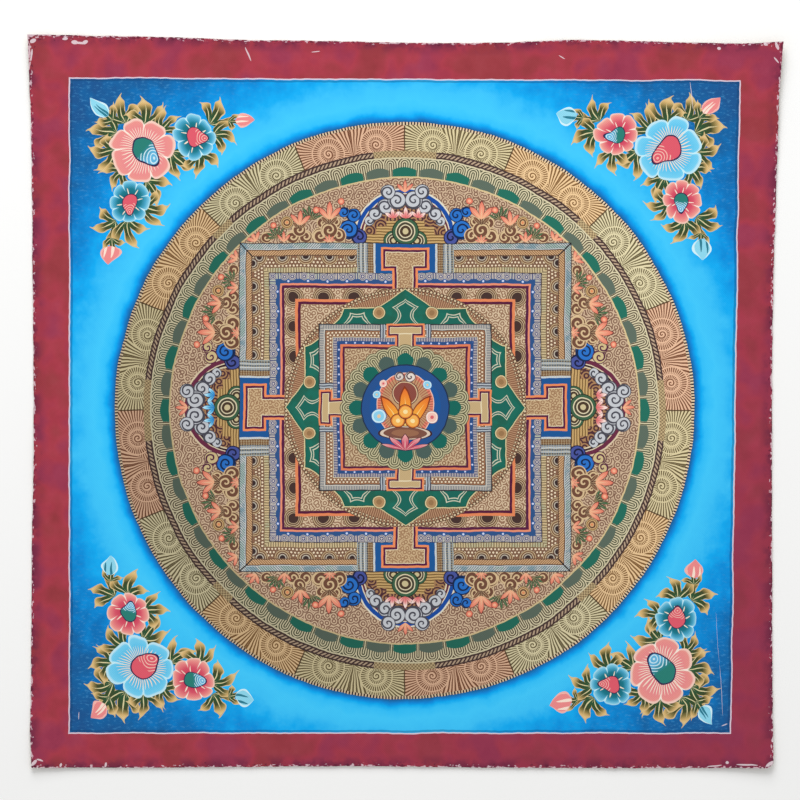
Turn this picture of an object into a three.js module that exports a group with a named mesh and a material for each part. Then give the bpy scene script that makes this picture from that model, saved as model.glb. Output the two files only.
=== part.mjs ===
// An unmounted thangka: one sheet of primed and painted cotton canvas, cut loose from its stretching
// frame and lying on its back. The cut edges bow in between the corners, where the lacing once pulled
// them out, and a few places along the rim still curl up a little from the roll.
//
// Millimetres, +Z up. X runs to the right of the painting and Y to its top. The origin is under the
// middle of the sheet's box, on the surface that the sheet lies on.
import * as THREE from "three";
import { mergeVertices } from "three/addons/utils/BufferGeometryUtils.js";

// Driving dimensions
const TOP_WIDTH = 503.4; // corner to corner along the top edge
const BOTTOM_WIDTH = 494.0; // corner to corner along the bottom edge
const LEFT_HEIGHT = 488.6; // corner to corner along the left edge
const RIGHT_HEIGHT = 484.0; // corner to corner along the right edge
const BOTTOM_LEFT_STEP_IN = 2.7; // the bottom left corner lies this far inside the top left one
const THICKNESS = 1.0; // cotton, ground and paint together
const CELLS = 28; // steps of the sheet's grid along each side

// How far each cut edge lies inside the straight line between its corners. "along" is the share of the
// way from the edge's first corner: left to right on the top and bottom, bottom to top on the sides.
const TOP_EDGE = [
  { along: 0.17, inward: 0.5 },
  { along: 0.28, inward: 2.0 },
  { along: 0.39, inward: 2.2 },
  { along: 0.5, inward: 3.0 },
  { along: 0.62, inward: 2.4 },
  { along: 0.73, inward: 0.1 },
  { along: 0.84, inward: 0.8 },
  { along: 0.95, inward: 1.6 },
];
const BOTTOM_EDGE = [
  { along: 0.2, inward: 0.3 },
  { along: 0.42, inward: 1.1 },
  { along: 0.6, inward: 0.2 },
  { along: 0.82, inward: -0.2 },
];
const LEFT_EDGE = [
  { along: 0.04, inward: -1.1 },
  { along: 0.13, inward: -0.3 },
  { along: 0.3, inward: 0.7 },
  { along: 0.45, inward: 2.4 },
  { along: 0.62, inward: 2.3 },
  { along: 0.78, inward: 2.1 },
  { along: 0.9, inward: 1.4 },
];
const RIGHT_EDGE = [
  { along: 0.1, inward: 1.1 },
  { along: 0.25, inward: 2.3 },
  { along: 0.4, inward: 3.5 },
  { along: 0.55, inward: 4.3 },
  { along: 0.68, inward: 4.3 },
  { along: 0.82, inward: 3.1 },
  { along: 0.94, inward: 1.9 },
];

// Where the rim curls off the surface: the place on the sheet as shares of its width and height, the
// height that the cloth reaches there, and how far the curl reaches into the flat sheet.
const CURLS = [
  { across: 0.0, up: 1.0, height: 3.6, reach: 95 },
  { across: 1.0, up: 1.0, height: 4.8, reach: 120 },
  { across: 1.0, up: 0.0, height: 2.6, reach: 80 },
  { across: 0.0, up: 0.0, height: 1.8, reach: 60 },
  { across: 0.7, up: 1.0, height: 1.5, reach: 55 },
  { across: 0.0, up: 0.42, height: 1.2, reach: 45 },
];

// The four corners, with the bottom left one as the start
const bottomLeft = new THREE.Vector2(BOTTOM_LEFT_STEP_IN, 0);
const bottomRight = new THREE.Vector2(BOTTOM_LEFT_STEP_IN + BOTTOM_WIDTH, 0);
const topLeft = new THREE.Vector2(0, LEFT_HEIGHT);
const topRight = new THREE.Vector2(TOP_WIDTH, RIGHT_HEIGHT);
const middle = bottomLeft.clone().add(topRight).multiplyScalar(0.5);

// A smooth cut edge from one corner to another, bowed towards the middle of the sheet by its table.
function cutEdge(start, end, table) {
  const run = end.clone().sub(start);
  const inwards = new THREE.Vector2(-run.y, run.x).normalize();
  if (inwards.dot(middle.clone().sub(start)) < 0) inwards.negate();
  const bowed = table.map(({ along, inward }) =>
    start.clone().addScaledVector(run, along).addScaledVector(inwards, inward),
  );
  return new THREE.SplineCurve([start, ...bowed, end]);
}

const edges = {
  top: cutEdge(topLeft, topRight, TOP_EDGE),
  bottom: cutEdge(bottomLeft, bottomRight, BOTTOM_EDGE),
  left: cutEdge(bottomLeft, topLeft, LEFT_EDGE),
  right: cutEdge(bottomRight, topRight, RIGHT_EDGE),
};

// The sheet's place in plan at shares (across, up): a Coons patch, which fills the four cut edges.
function inPlan(across, up) {
  const betweenTopAndBottom = edges.bottom.getPointAt(across).lerp(edges.top.getPointAt(across), up);
  const betweenSides = edges.left.getPointAt(up).lerp(edges.right.getPointAt(up), across);
  const betweenCorners = bottomLeft
    .clone()
    .lerp(bottomRight, across)
    .lerp(topLeft.clone().lerp(topRight, across), up);
  return betweenTopAndBottom.add(betweenSides).sub(betweenCorners);
}

// How high the underside of the cloth stands off the surface at a place in plan.
function liftAt(place) {
  return CURLS.reduce((lift, { across, up, height, reach }) => {
    const nearness = Math.max(0, 1 - place.distanceTo(inPlan(across, up)) / reach);
    return Math.max(lift, height * nearness * nearness);
  }, 0);
}

// One closed sheet: a flat box with a grid of cells, with each point moved to its place on the cloth.
function sheetGeometry() {
  const box = new THREE.BoxGeometry(1, 1, 1, CELLS, CELLS, 1);
  box.deleteAttribute("normal");
  box.deleteAttribute("uv");
  const sheet = mergeVertices(box);
  const points = sheet.getAttribute("position");
  for (let i = 0; i < points.count; i++) {
    const place = inPlan(points.getX(i) + 0.5, points.getY(i) + 0.5);
    const throughCloth = (points.getZ(i) + 0.5) * THICKNESS;
    points.setXYZ(i, place.x, place.y, liftAt(place) + throughCloth);
  }
  sheet.computeBoundingBox();
  const centre = sheet.boundingBox.getCenter(new THREE.Vector3());
  sheet.translate(-centre.x, -centre.y, 0);
  sheet.computeVertexNormals();
  return sheet;
}

// Pigment in hide glue on a chalk ground: matt, with the mean colour of the painted face.
const paintedCotton = new THREE.MeshStandardMaterial({ color: 0x7d6f66, roughness: 0.82, metalness: 0 });

const canvas = new THREE.Mesh(sheetGeometry(), paintedCotton);
canvas.name = "painted_canvas";

const thangka = new THREE.Group();
thangka.name = "unmounted_thangka";
thangka.add(canvas);

export default thangka;
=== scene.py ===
# %% [markdown]
# # A painted thangka canvas, off its mount
#
# The real object is one sheet of cotton. A maker stretches it, fills it with chalk and glue, polishes it
# with a stone, draws a mandala with compass and ruler, lays in flat pigments and finishes with thousands
# of fine gold lines. This one was cut loose and lies on its back. The lesson models the cloth as a thin
# sheet and then paints it in one material, layer over layer, in the order that a painter works.

# %% Load the frame
import math

import bmesh
import bpy
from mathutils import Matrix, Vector, kdtree, noise


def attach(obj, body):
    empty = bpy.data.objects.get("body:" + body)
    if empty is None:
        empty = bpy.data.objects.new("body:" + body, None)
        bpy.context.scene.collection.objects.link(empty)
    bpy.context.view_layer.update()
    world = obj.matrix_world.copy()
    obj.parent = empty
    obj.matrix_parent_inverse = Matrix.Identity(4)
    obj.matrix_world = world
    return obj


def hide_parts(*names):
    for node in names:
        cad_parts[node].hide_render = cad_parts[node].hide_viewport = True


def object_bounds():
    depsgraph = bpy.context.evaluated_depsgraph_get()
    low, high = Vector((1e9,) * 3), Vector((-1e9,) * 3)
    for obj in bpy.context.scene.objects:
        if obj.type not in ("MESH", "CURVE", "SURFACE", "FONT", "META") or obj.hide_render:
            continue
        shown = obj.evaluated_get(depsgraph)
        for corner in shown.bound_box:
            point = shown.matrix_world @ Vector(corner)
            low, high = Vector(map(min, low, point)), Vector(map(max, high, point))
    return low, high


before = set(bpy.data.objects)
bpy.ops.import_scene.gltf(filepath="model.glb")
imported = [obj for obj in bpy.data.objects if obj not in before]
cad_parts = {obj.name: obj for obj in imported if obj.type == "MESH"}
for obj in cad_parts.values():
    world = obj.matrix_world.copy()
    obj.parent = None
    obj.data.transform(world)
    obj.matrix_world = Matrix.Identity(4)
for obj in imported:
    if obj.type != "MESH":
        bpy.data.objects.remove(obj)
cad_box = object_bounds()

MM = 0.001  # one millimetre in Blender's metres
print("CAD box, mm:", [[round(v / MM, 1) for v in corner] for corner in cad_box])

# %% [markdown]
# ## The studio
#
# The picture is taken straight down on the painted face, as a copy stand does it. A long lens keeps the
# corners square. The floor is plain and pale. A bright sky gives the even light of a light tent, and one
# wide soft lamp beyond the top edge gives the paper-thin shadow under the bottom edge.

# %% Camera over the painted face
PICTURE_WIDTH = 533.3 * MM  # what the square picture takes in at the sheet
PICTURE_MIDDLE = Vector((-3.7, 1.0, 1.0)) * MM
LENS_MM = 200.0
SENSOR_MM = 36.0

lens = bpy.data.cameras.new("copy_stand_camera")
lens.lens = LENS_MM
lens.sensor_width = SENSOR_MM
camera = bpy.data.objects.new("copy_stand_camera", lens)
camera.location = PICTURE_MIDDLE + Vector((0, 0, PICTURE_WIDTH * LENS_MM / SENSOR_MM))
bpy.context.scene.collection.objects.link(camera)
bpy.context.scene.camera = camera
bpy.context.scene.view_settings.view_transform = "Standard"
print("camera height, m:", round(camera.location.z, 3))

# %% Colours as a painter's chart gives them
BOARD_WHITE = "#FBFBFA"


def linear(chart_colour):
    """Turns an sRGB hex value into the linear colour that Blender's sockets take."""
    parts = [int(chart_colour[i : i + 2], 16) / 255 for i in (1, 3, 5)]
    return (*(p / 12.92 if p <= 0.04045 else ((p + 0.055) / 1.055) ** 2.4 for p in parts), 1.0)


print("white board, linear:", [round(v, 3) for v in linear(BOARD_WHITE)])

# %% Floor, sky and lamp
FLOOR_SIZE = 8.0
FLOOR_DROP = 0.15 * MM  # keeps the floor just under the cloth's back
SKY_STRENGTH = 0.6
LAMP_PLACE = Vector((-0.25, 1.9, 1.25))
LAMP_SIZE = 1.5
LAMP_POWER = 41.0


def matt_material(name, roughness, gloss):
    """Starts a matt material, and gives it together with the node of its surface."""
    material = bpy.data.materials.new(name)
    material.use_nodes = True
    surface = material.node_tree.nodes["Principled BSDF"]
    surface.inputs["Roughness"].default_value = roughness
    surface.inputs["Specular IOR Level"].default_value = gloss
    return material, surface


shape = bmesh.new()
bmesh.ops.create_grid(shape, x_segments=1, y_segments=1, size=FLOOR_SIZE / 2)
bmesh.ops.translate(shape, verts=shape.verts, vec=(0, 0, -FLOOR_DROP))
floor_mesh = bpy.data.meshes.new("studio_floor")
shape.to_mesh(floor_mesh)
shape.free()
floor = bpy.data.objects.new("studio_floor", floor_mesh)
bpy.context.scene.collection.objects.link(floor)
floor_paint, board = matt_material("matt_white_board", roughness=0.9, gloss=0.1)
board.inputs["Base Color"].default_value = linear(BOARD_WHITE)
floor_mesh.materials.append(floor_paint)

sky = bpy.data.worlds.new("light_tent")
sky.use_nodes = True
sky.node_tree.nodes["Background"].inputs["Strength"].default_value = SKY_STRENGTH
sky.node_tree.nodes["Background"].inputs["Color"].default_value = (1, 1, 1, 1)
bpy.context.scene.world = sky

lamp_data = bpy.data.lights.new("wide_soft_lamp", "AREA")
lamp_data.size = LAMP_SIZE
lamp_data.energy = LAMP_POWER
lamp = bpy.data.objects.new("wide_soft_lamp", lamp_data)
lamp.location = LAMP_PLACE
lamp.rotation_euler = (-LAMP_PLACE).to_track_quat("-Z", "Y").to_euler()
bpy.context.scene.collection.objects.link(lamp)
print("floor", FLOOR_SIZE, "m wide, lamp", round(LAMP_PLACE.length, 2), "m away")

# %% [markdown]
# ## The cloth
#
# The sheet starts from a copy of the CAD solid's painted side, so it has the cut outline and the curled
# corners already. Its triangles become quads, and the quads are cut finer. The rim gets the small nicks
# of a knife cut, the flat part near it a few low cockles where the lacing once pulled, and the sheet then
# gets its thickness back. A cloth simulation would add nothing here, because the canvas lies flat and its
# chalk ground keeps it stiff.

# %% Painted side of the solid, as a finer grid of quads
NODE = "painted_canvas"
FINER_CUTS = 4  # new cuts across each cell of the solid
MERGE_WITHIN = 0.02 * MM
UPWARD = 0.5  # a face whose normal points up by more than this is the painted side

cloth = bmesh.new()
cloth.from_mesh(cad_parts[NODE].data)
bmesh.ops.remove_doubles(cloth, verts=cloth.verts, dist=MERGE_WITHIN)
cloth.normal_update()
hidden = [face for face in cloth.faces if face.normal.z < UPWARD]
bmesh.ops.delete(cloth, geom=hidden, context="FACES")
bmesh.ops.join_triangles(
    cloth, faces=cloth.faces, angle_face_threshold=math.pi, angle_shape_threshold=math.pi
)
bmesh.ops.subdivide_edges(cloth, edges=cloth.edges, cuts=FINER_CUTS, use_grid_fill=True)
print("painted side:", len(cloth.faces), "faces,", len(cloth.verts), "points")

# %% How far each point lies from the cut edge
rim_layer = cloth.verts.layers.float.new("rim_mm")
rim_points = [vert for vert in cloth.verts if vert.is_boundary]
rim_tree = kdtree.KDTree(len(rim_points))
for index, vert in enumerate(rim_points):
    rim_tree.insert(vert.co, index)
rim_tree.balance()
for vert in cloth.verts:
    vert[rim_layer] = rim_tree.find(vert.co)[2] / MM
print("farthest from the rim:", round(max(vert[rim_layer] for vert in cloth.verts), 1), "mm")

# %% Nicks along the knife cut and low cockles beside it
NICK_DEPTH = 0.45 * MM
NICK_SPACING = 9.0 * MM
NICK_SEED = 11
WORN_OFF = 1.7 * MM  # the bottom right corner is worn round by this much each way
COCKLE_HEIGHT = 0.7 * MM
COCKLE_SPACING = 62.0 * MM
COCKLE_REACH_MM = 70.0  # the cockles fade out this far from the rim

noise.seed_set(NICK_SEED)
for vert in cloth.verts:
    fade = max(0.0, 1 - vert[rim_layer] / COCKLE_REACH_MM)
    swell = 0.5 + 0.5 * noise.noise(vert.co / COCKLE_SPACING)
    vert.co.z += COCKLE_HEIGHT * fade * swell
for vert in rim_points:
    nick = noise.noise_vector(vert.co / NICK_SPACING)
    vert.co.x += NICK_DEPTH * nick.x
    vert.co.y += NICK_DEPTH * nick.y
worn_corner = max(rim_points, key=lambda vert: vert.co.x - vert.co.y)
worn_corner.co += Vector((-WORN_OFF, WORN_OFF, 0))
print("nicked", len(rim_points), "points of the rim")

# %% Thickness, and a face set each for paint, cut edge and back
CLOTH_THICKNESS = 1.0 * MM
FRONT, RIM, BACK = range(3)

bmesh.ops.recalc_face_normals(cloth, faces=cloth.faces)
if sum(face.normal.z for face in cloth.faces) < 0:
    bmesh.ops.reverse_faces(cloth, faces=cloth.faces)
bmesh.ops.solidify(cloth, geom=cloth.faces, thickness=CLOTH_THICKNESS)
cloth.normal_update()
for face in cloth.faces:
    face.smooth = abs(face.normal.z) > UPWARD
    face.material_index = FRONT if face.normal.z > UPWARD else BACK if face.normal.z < -UPWARD else RIM
for edge in cloth.edges:
    edge.smooth = len({face.material_index for face in edge.link_faces}) == 1
print("lowest and highest, mm:", [round(f(v.co.z for v in cloth.verts) / MM, 2) for f in (min, max)])
print("faces a set:", [sum(f.material_index == s for f in cloth.faces) for s in (FRONT, RIM, BACK)])

# %% A flat map: the painted face fills most of it, the back a strip beside it
FRONT_SHARE = 0.86  # of the map's width and height
MAP_MARGIN = 0.006
MAP_SLACK = 2.0 * MM  # the nicks may pass the solid's box a little
RIM_DEPTH = 90.0 * MM  # the upright cut edge is drawn in by its height over this, so that it has an area

low, high = cad_box
map_layer = cloth.loops.layers.uv.new("OFBake")
strips = {
    FRONT: (0.0, FRONT_SHARE, 0.0, FRONT_SHARE),
    BACK: (FRONT_SHARE, 1.0, 0.0, FRONT_SHARE),
    RIM: (0.0, 1.0, FRONT_SHARE, 1.0),
}
for face in cloth.faces:
    left, right, bottom, top = strips[face.material_index]
    for loop in face.loops:
        place = loop.vert.co
        shrink = 1 - place.z / RIM_DEPTH if face.material_index == RIM else 1
        across = 0.5 + shrink * place.x / (high.x - low.x + MAP_SLACK)
        upward = 0.5 + shrink * place.y / (high.y - low.y + MAP_SLACK)
        loop[map_layer].uv = (
            left + MAP_MARGIN + across * (right - left - 2 * MAP_MARGIN),
            bottom + MAP_MARGIN + upward * (top - bottom - 2 * MAP_MARGIN),
        )
canvas_mesh = bpy.data.meshes.new("thangka_canvas")
cloth.to_mesh(canvas_mesh)
cloth.free()
canvas = bpy.data.objects.new("thangka_canvas", canvas_mesh)
bpy.context.scene.collection.objects.link(canvas)
print("sheet:", len(canvas_mesh.polygons), "faces")

# %% [markdown]
# ## Painting with nodes
#
# The painting could be an image on a UV map, but a picture file has a fixed size. Nodes draw it afresh at
# any size, from the same rules as a painter's compass and ruler. One function adds a node: its kind, then
# its inputs in order, each a number, a hex colour or the node that feeds it, and its settings by name. An
# operation may follow the kind after a space, and a kind in capitals is the operation of a Math node. A
# tuple among the inputs describes one more node in the same way, so a whole sum fits on one line. Every
# motif below is made with this function, and each layer is mixed over the last one.

# %% The one function that adds a node
HABITS = {  # the settings that most nodes of a kind have here
    "Mix": {"data_type": "RGBA"},
    "Mapping": {"vector_type": "TEXTURE"},
    "MapRange": {"interpolation_type": "SMOOTHSTEP"},  # eases in and out and stops at its ends
    "TexNoise": {"noise_dimensions": "2D"},
    "TexVoronoi": {"voronoi_dimensions": "2D"},
}


def node(kind, *inputs, **settings):
    """Adds a shader node to the open tree, with its settings and with its usable inputs in order."""
    if kind.isupper():
        kind = "Math " + kind
    kind, _, operation = kind.partition(" ")
    settings = HABITS.get(kind, {}) | settings
    if operation:
        settings["operation"] = operation
    made = pigments.nodes.new(kind if kind.startswith("NodeGroup") else "ShaderNode" + kind)
    for stop, (place, colour) in enumerate(settings.pop("stops", ())):
        ramp = made.color_ramp.elements
        element = ramp[stop] if stop < len(ramp) else ramp.new(place)
        element.position = place
        element.color = linear(colour)
    for name, value in settings.items():
        setattr(made.color_ramp if name == "interpolation" else made, name, value)
    usable = [socket for socket in made.inputs if socket.enabled]
    for socket, value in zip(usable, inputs):
        if isinstance(value, tuple) and isinstance(value[0], str):
            value = node(*value)
        if isinstance(value, bpy.types.Node):
            value = next(output for output in value.outputs if output.enabled)
        if isinstance(value, bpy.types.NodeSocket):
            pigments.links.new(value, socket)
        elif value is not None:
            socket.default_value = linear(value) if isinstance(value, str) else value
    return made


painted = bpy.data.materials.new("glue_paint_on_chalked_cotton")
painted.use_nodes = True
pigments = painted.node_tree
pigments.nodes.remove(pigments.nodes["Principled BSDF"])
print("open material:", painted.name)

# %% [markdown]
# ### Where the brush goes
#
# All motifs are placed in millimetres on the sheet. Two soft noises bend those coordinates by about half
# a millimetre, so no ruled line stays quite straight: that is the sway of the arm and the tremble of the
# brush. A second set of coordinates is folded. The four sides of a mandala are alike, and so are the two
# halves of a side, so a motif that is drawn once in folded coordinates appears eight times.

# %% Sheet coordinates in millimetres, with the tremble of a hand
HAND_SWAY = 0.8
HAND_SWAY_LENGTH = 34.0
HAND_TREMBLE = 0.22
HAND_TREMBLE_LENGTH = 4.2

flat = node("VectorMath MULTIPLY", node("TexCoord").outputs["Object"], (1 / MM, 1 / MM, 0))
sway = node("TexNoise", flat, 1 / HAND_SWAY_LENGTH, 1.0).outputs["Color"]
tremble = node("TexNoise", flat, 1 / HAND_TREMBLE_LENGTH, 0.0).outputs["Color"]
swayed = node("VectorMath MULTIPLY_ADD", sway, (2 * HAND_SWAY, 2 * HAND_SWAY, 0), flat)
drawn = node("VectorMath MULTIPLY_ADD", tremble, (2 * HAND_TREMBLE, 2 * HAND_TREMBLE, 0), swayed)
recentre = (HAND_SWAY + HAND_TREMBLE, HAND_SWAY + HAND_TREMBLE, 0)
hand = node("VectorMath SUBTRACT", drawn, recentre)
print("hand sway", HAND_SWAY, "mm, tremble", HAND_TREMBLE, "mm")

# %% Compass coordinates: the rings have one middle, the palace inside them another
RINGS_MIDDLE, RINGS_STRETCH = (-0.6, -6.0, 0), (1.0105, 1.0054, 1)
PALACE_MIDDLE, PALACE_STRETCH = (-0.2, -4.0, 0), (1, 0.99, 1)  # hand work: it stands a little high


def polar(place):
    """Gives a place's distance from the middle and its angle."""
    east, north, _ = node("SeparateXYZ", place).outputs
    return node("VectorMath LENGTH", place), node("ARCTAN2", north, east)


def fold(place):
    """Folds the four sides and their halves into one: gives how far along it a place is, and how far out."""
    east, north, _ = node("SeparateXYZ", place).outputs
    east, north = node("ABSOLUTE", east), node("ABSOLUTE", north)
    return node("MINIMUM", east, north), node("MAXIMUM", east, north)


ringed = node("Mapping", hand, RINGS_MIDDLE, None, RINGS_STRETCH)
radius, angle = polar(ringed)
compass = node("Mapping", hand, PALACE_MIDDLE, None, PALACE_STRETCH)
along, out = fold(compass)
side = node("CombineXYZ", along, out)
print("middles, mm:", RINGS_MIDDLE[:2], PALACE_MIDDLE[:2])

# %% Brush marks, and the distance from the cut edge
BRUSH_MARK = 15.0  # mm, the width of a wide brush's marks

brush = node("TexNoise", flat, 1 / BRUSH_MARK, 4.0, 0.6).outputs[0]
rim = node("Attribute", attribute_name="rim_mm").outputs["Fac"]
guides = (hand, compass, side, radius, angle, along, out, brush, rim)
print("brush marks", BRUSH_MARK, "mm")

# %% [markdown]
# ### Five panels
#
# The painting has five parts: the border with the sky, the gilded rings, the offerings inside them, the
# outer palace and the inner palace. Each one is a node group of its own, a panel, that takes the guide
# lines above and gives back a colour. One large tree would do too, but the renderer would then work out
# every motif at every point.


# %% A function that opens a panel
def open_panel(name):
    """Starts a node group for one part of the painting, with the guides as its inputs."""
    panel = bpy.data.node_groups.new(name, "ShaderNodeTree")
    for guide in ("hand", "compass", "side"):
        panel.interface.new_socket(guide, in_out="INPUT", socket_type="NodeSocketVector")
    for guide in ("radius", "angle", "along", "out", "brush", "rim"):
        panel.interface.new_socket(guide, in_out="INPUT", socket_type="NodeSocketFloat")
    panel.interface.new_socket("paint", in_out="OUTPUT", socket_type="NodeSocketColor")
    return panel


DISC_RADIUS, GROUND_RADIUS = 191.3, 154.2  # where the rings end towards the sky and towards the offerings
OUTER_HALF, INNER_HALF = 110.7, 57.2  # half the sides of the outer and the inner palace
INNER_STRETCH = (1.006, 0.985, 1)  # the inner palace is a little wider than high
print("panels end at", DISC_RADIUS, GROUND_RADIUS, OUTER_HALF, INNER_HALF, "mm")

# %% [markdown]
# ### Border and sky
#
# The border is an iron red laid with a wide brush, so it is a little streaky, and it is darker along the
# rim. Inside a pale ruled line lies the sky: light blue close to the mandala and deep blue in the corners,
# with a dark glow right beside the disc. One colour ramp over the distance from the middle gives that glow.
# The brushed unevenness is a noise that shifts the ramp more the farther out.

# %% Red border, darker along the rim
RIM_DARKENING = 10.0  # mm that the darker rim reaches in
PATCH = 34.0  # mm that one pot of red covers before the next, slightly different one
PATCH_SHARE, DARKENING_STRENGTH = 0.6, 0.8
DULL_REACH, DULL_SHARE = 480.0, 0.5  # mm right and down from the middle where the red is dullest, how dull

sky_panel = pigments = open_panel("border_sky_and_flowers")
hand, compass, side, radius, angle, along, out, brush, rim, _ = node("NodeGroupInput").outputs
x, y, _ = node("SeparateXYZ", hand).outputs
red = node("ValToRGB", brush, stops=[(0.25, "#9A3441"), (0.5, "#AA3E4B"), (0.75, "#B44957")])
pots = node("TexNoise", hand, 1 / PATCH, 2.0, 0.6)
patch_red = node("ValToRGB", pots, stops=[(0.36, "#903A3D"), (0.5, "#AA3B4B"), (0.64, "#913656")])
red = node("Mix", PATCH_SHARE, red, patch_red)
red = node("Mix", ("MapRange", ("SUBTRACT", x, y), 0.0, DULL_REACH, 0.0, DULL_SHARE), red, "#86324E")
streaks = node("MapRange", brush, 0.38, 0.62, 0.1, 1.0)
darkening = node("MULTIPLY", ("MapRange", rim, 0.0, RIM_DARKENING, DARKENING_STRENGTH, 0.0), streaks)
paint = node("Mix", darkening, red, "#652540")
print("border grime reaches", RIM_DARKENING, "mm")

# %% Sky inside a ruled pale line
FIELD_LEFT, FIELD_RIGHT, FIELD_TOP, FIELD_BOTTOM = -224.5, 220.2, 215.2, -221.5
FIELD_RIGHT_LEAN, FIELD_TOP_LEAN = 0.0134, -0.0039  # those two sides are out of square
PALE_LINE = 0.85
SHADE_MIDDLE, SHADE_HALF, SHADE_STRENGTH = 1.8, 0.7, 0.45  # a dark line inside the pale one
SKY_GLOW = (  # distance from the mandala's middle, colour there
    (189.6, "#1B4478"), (191.8, "#1A66A2"), (193.8, "#0A8ADC"), (195.8, "#08AEF6"),
    (198.2, "#33C2FD"), (204.0, "#42CAFE"), (213.0, "#3CC3FB"), (224.0, "#10ADF4"),
    (238.0, "#0792E0"), (255.0, "#0876C0"), (275.0, "#1463A2"), (305.0, "#1C5590"),
)
GLOW_START, GLOW_END = SKY_GLOW[0][0], 310.0
BRISTLE, DRAG_SHARE = 1.5, 0.4  # mm: a dry brush leaves pale streaks on the dark corners, dragged sideways
DRY_FROM, DRY_FULL, DRY_STRENGTH = 212.0, 262.0, 0.4  # mm from the middle where they start and are full
UNEVEN = 0.16  # share by which the brushed unevenness shifts the ramp

right_line = node("MULTIPLY_ADD", y, FIELD_RIGHT_LEAN, FIELD_RIGHT)
top_line = node("MULTIPLY_ADD", x, FIELD_TOP_LEAN, FIELD_TOP)
inset = node("SUBTRACT", x, FIELD_LEFT)
for far, near in ((right_line, x), (top_line, y), (y, FIELD_BOTTOM)):
    inset = node("MINIMUM", inset, ("SUBTRACT", far, near))
unevenness = node("MapRange", brush, 0.3, 0.7, -UNEVEN, UNEVEN, interpolation_type="LINEAR", clamp=False)
beyond = node("SUBTRACT", radius, GLOW_START)
share = node("DIVIDE", ("MULTIPLY_ADD", beyond, unevenness, beyond), GLOW_END - GLOW_START)
glow_stops = [((far - GLOW_START) / (GLOW_END - GLOW_START), colour) for far, colour in SKY_GLOW]
sky_blue = node("ValToRGB", share, stops=glow_stops)
dragged = node("VectorMath MULTIPLY", hand, (DRAG_SHARE, 1, 0))
dry = node("MapRange", ("TexNoise", dragged, 1 / BRISTLE, 2.0, 0.65), 0.54, 0.74, 0.0, DRY_STRENGTH)
far_out = node("MapRange", radius, DRY_FROM, DRY_FULL, 0.0, 1.0)
sky_blue = node("Mix", ("MULTIPLY", dry, far_out), sky_blue, "#4E9CD2")
paint = node("Mix", ("GREATER_THAN", inset, 0.0), paint, sky_blue)
shade = node("MULTIPLY", ("COMPARE", inset, SHADE_MIDDLE, SHADE_HALF), SHADE_STRENGTH)
paint = node("Mix", shade, paint, "#123C66")
paint = node("Mix", ("COMPARE", inset, PALE_LINE / 2, PALE_LINE / 2), paint, "#DBC9D6")
print("sky from", GLOW_START, "to", GLOW_END, "mm in", len(SKY_GLOW), "colours")

# %% [markdown]
# ### Flower sprays
#
# Each corner holds a spray: one large blossom, two smaller ones, three buds and clusters of curled leaves.
# All four corners, and the two halves of each, are alike apart from their colours, so the coordinates are
# folded twice and half a spray is drawn. Two opposite corners have a warm large blossom and the other two
# a cool one. A leaf, a blossom and a bud each have their own function, because each comes several times.

# %% Corner coordinates, and which corners are warm
SKY_MIDDLE_Y = -3.5
FREEHAND, FREEHAND_LENGTH = 7.0, 24.0  # mm: sprays are drawn freehand, so the noise bends them more
SPRAY_SHIFTS = (  # outwards, from top right round
    (2.6, -0.8, 0), (2.3, -1.9, 0), (3.0, 0.0, 0), (-1.2, 3.4, 0),
)

bending = node("TexNoise", hand, 1 / FREEHAND_LENGTH, 1.0).outputs["Color"]
bent = node("VectorMath MULTIPLY_ADD", bending, (FREEHAND, FREEHAND, 0), hand)
about = node("VectorMath SUBTRACT", bent, (FREEHAND / 2, FREEHAND / 2 + SKY_MIDDLE_Y, 0))
spray_x, spray_y, _ = node("SeparateXYZ", about).outputs
at_left = node("LESS_THAN", spray_x, 0.0)
at_bottom = node("LESS_THAN", spray_y, 0.0)
top_shift = node("Mix", at_left, SPRAY_SHIFTS[0], SPRAY_SHIFTS[1], data_type="VECTOR")
bottom_shift = node("Mix", at_left, SPRAY_SHIFTS[3], SPRAY_SHIFTS[2], data_type="VECTOR")
spray_shift = node("Mix", at_bottom, top_shift, bottom_shift, data_type="VECTOR")
folded = node("VectorMath SUBTRACT", ("VectorMath ABSOLUTE", about), spray_shift)
fold_x, fold_y, _ = node("SeparateXYZ", folded).outputs
near_side = node("MINIMUM", fold_x, fold_y)
corner = node("CombineXYZ", near_side, ("MAXIMUM", fold_x, fold_y))
warm = node("ABSOLUTE", ("SUBTRACT", at_left, at_bottom))
cool = node("LESS_THAN", warm, 1.0)
print("sprays fold about y =", SKY_MIDDLE_Y, "mm")

# %% A fan of pointed blades, for leaves, lotus petals and flames
OUTLINE_FROM = 0.88  # of the way to a motif's edge
SIDE_SHORTER = 0.14  # the blades at the sides are shorter by this times the square of their angle
FRILL_WAVES = 16.0  # radians of wave along a blade
BLADE_TAPER = 1.7  # the larger, the slimmer the blades
VEIN_END, VEIN_WIDTH = 0.8, 0.1  # shares of a blade's length and of the angle between two


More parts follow.
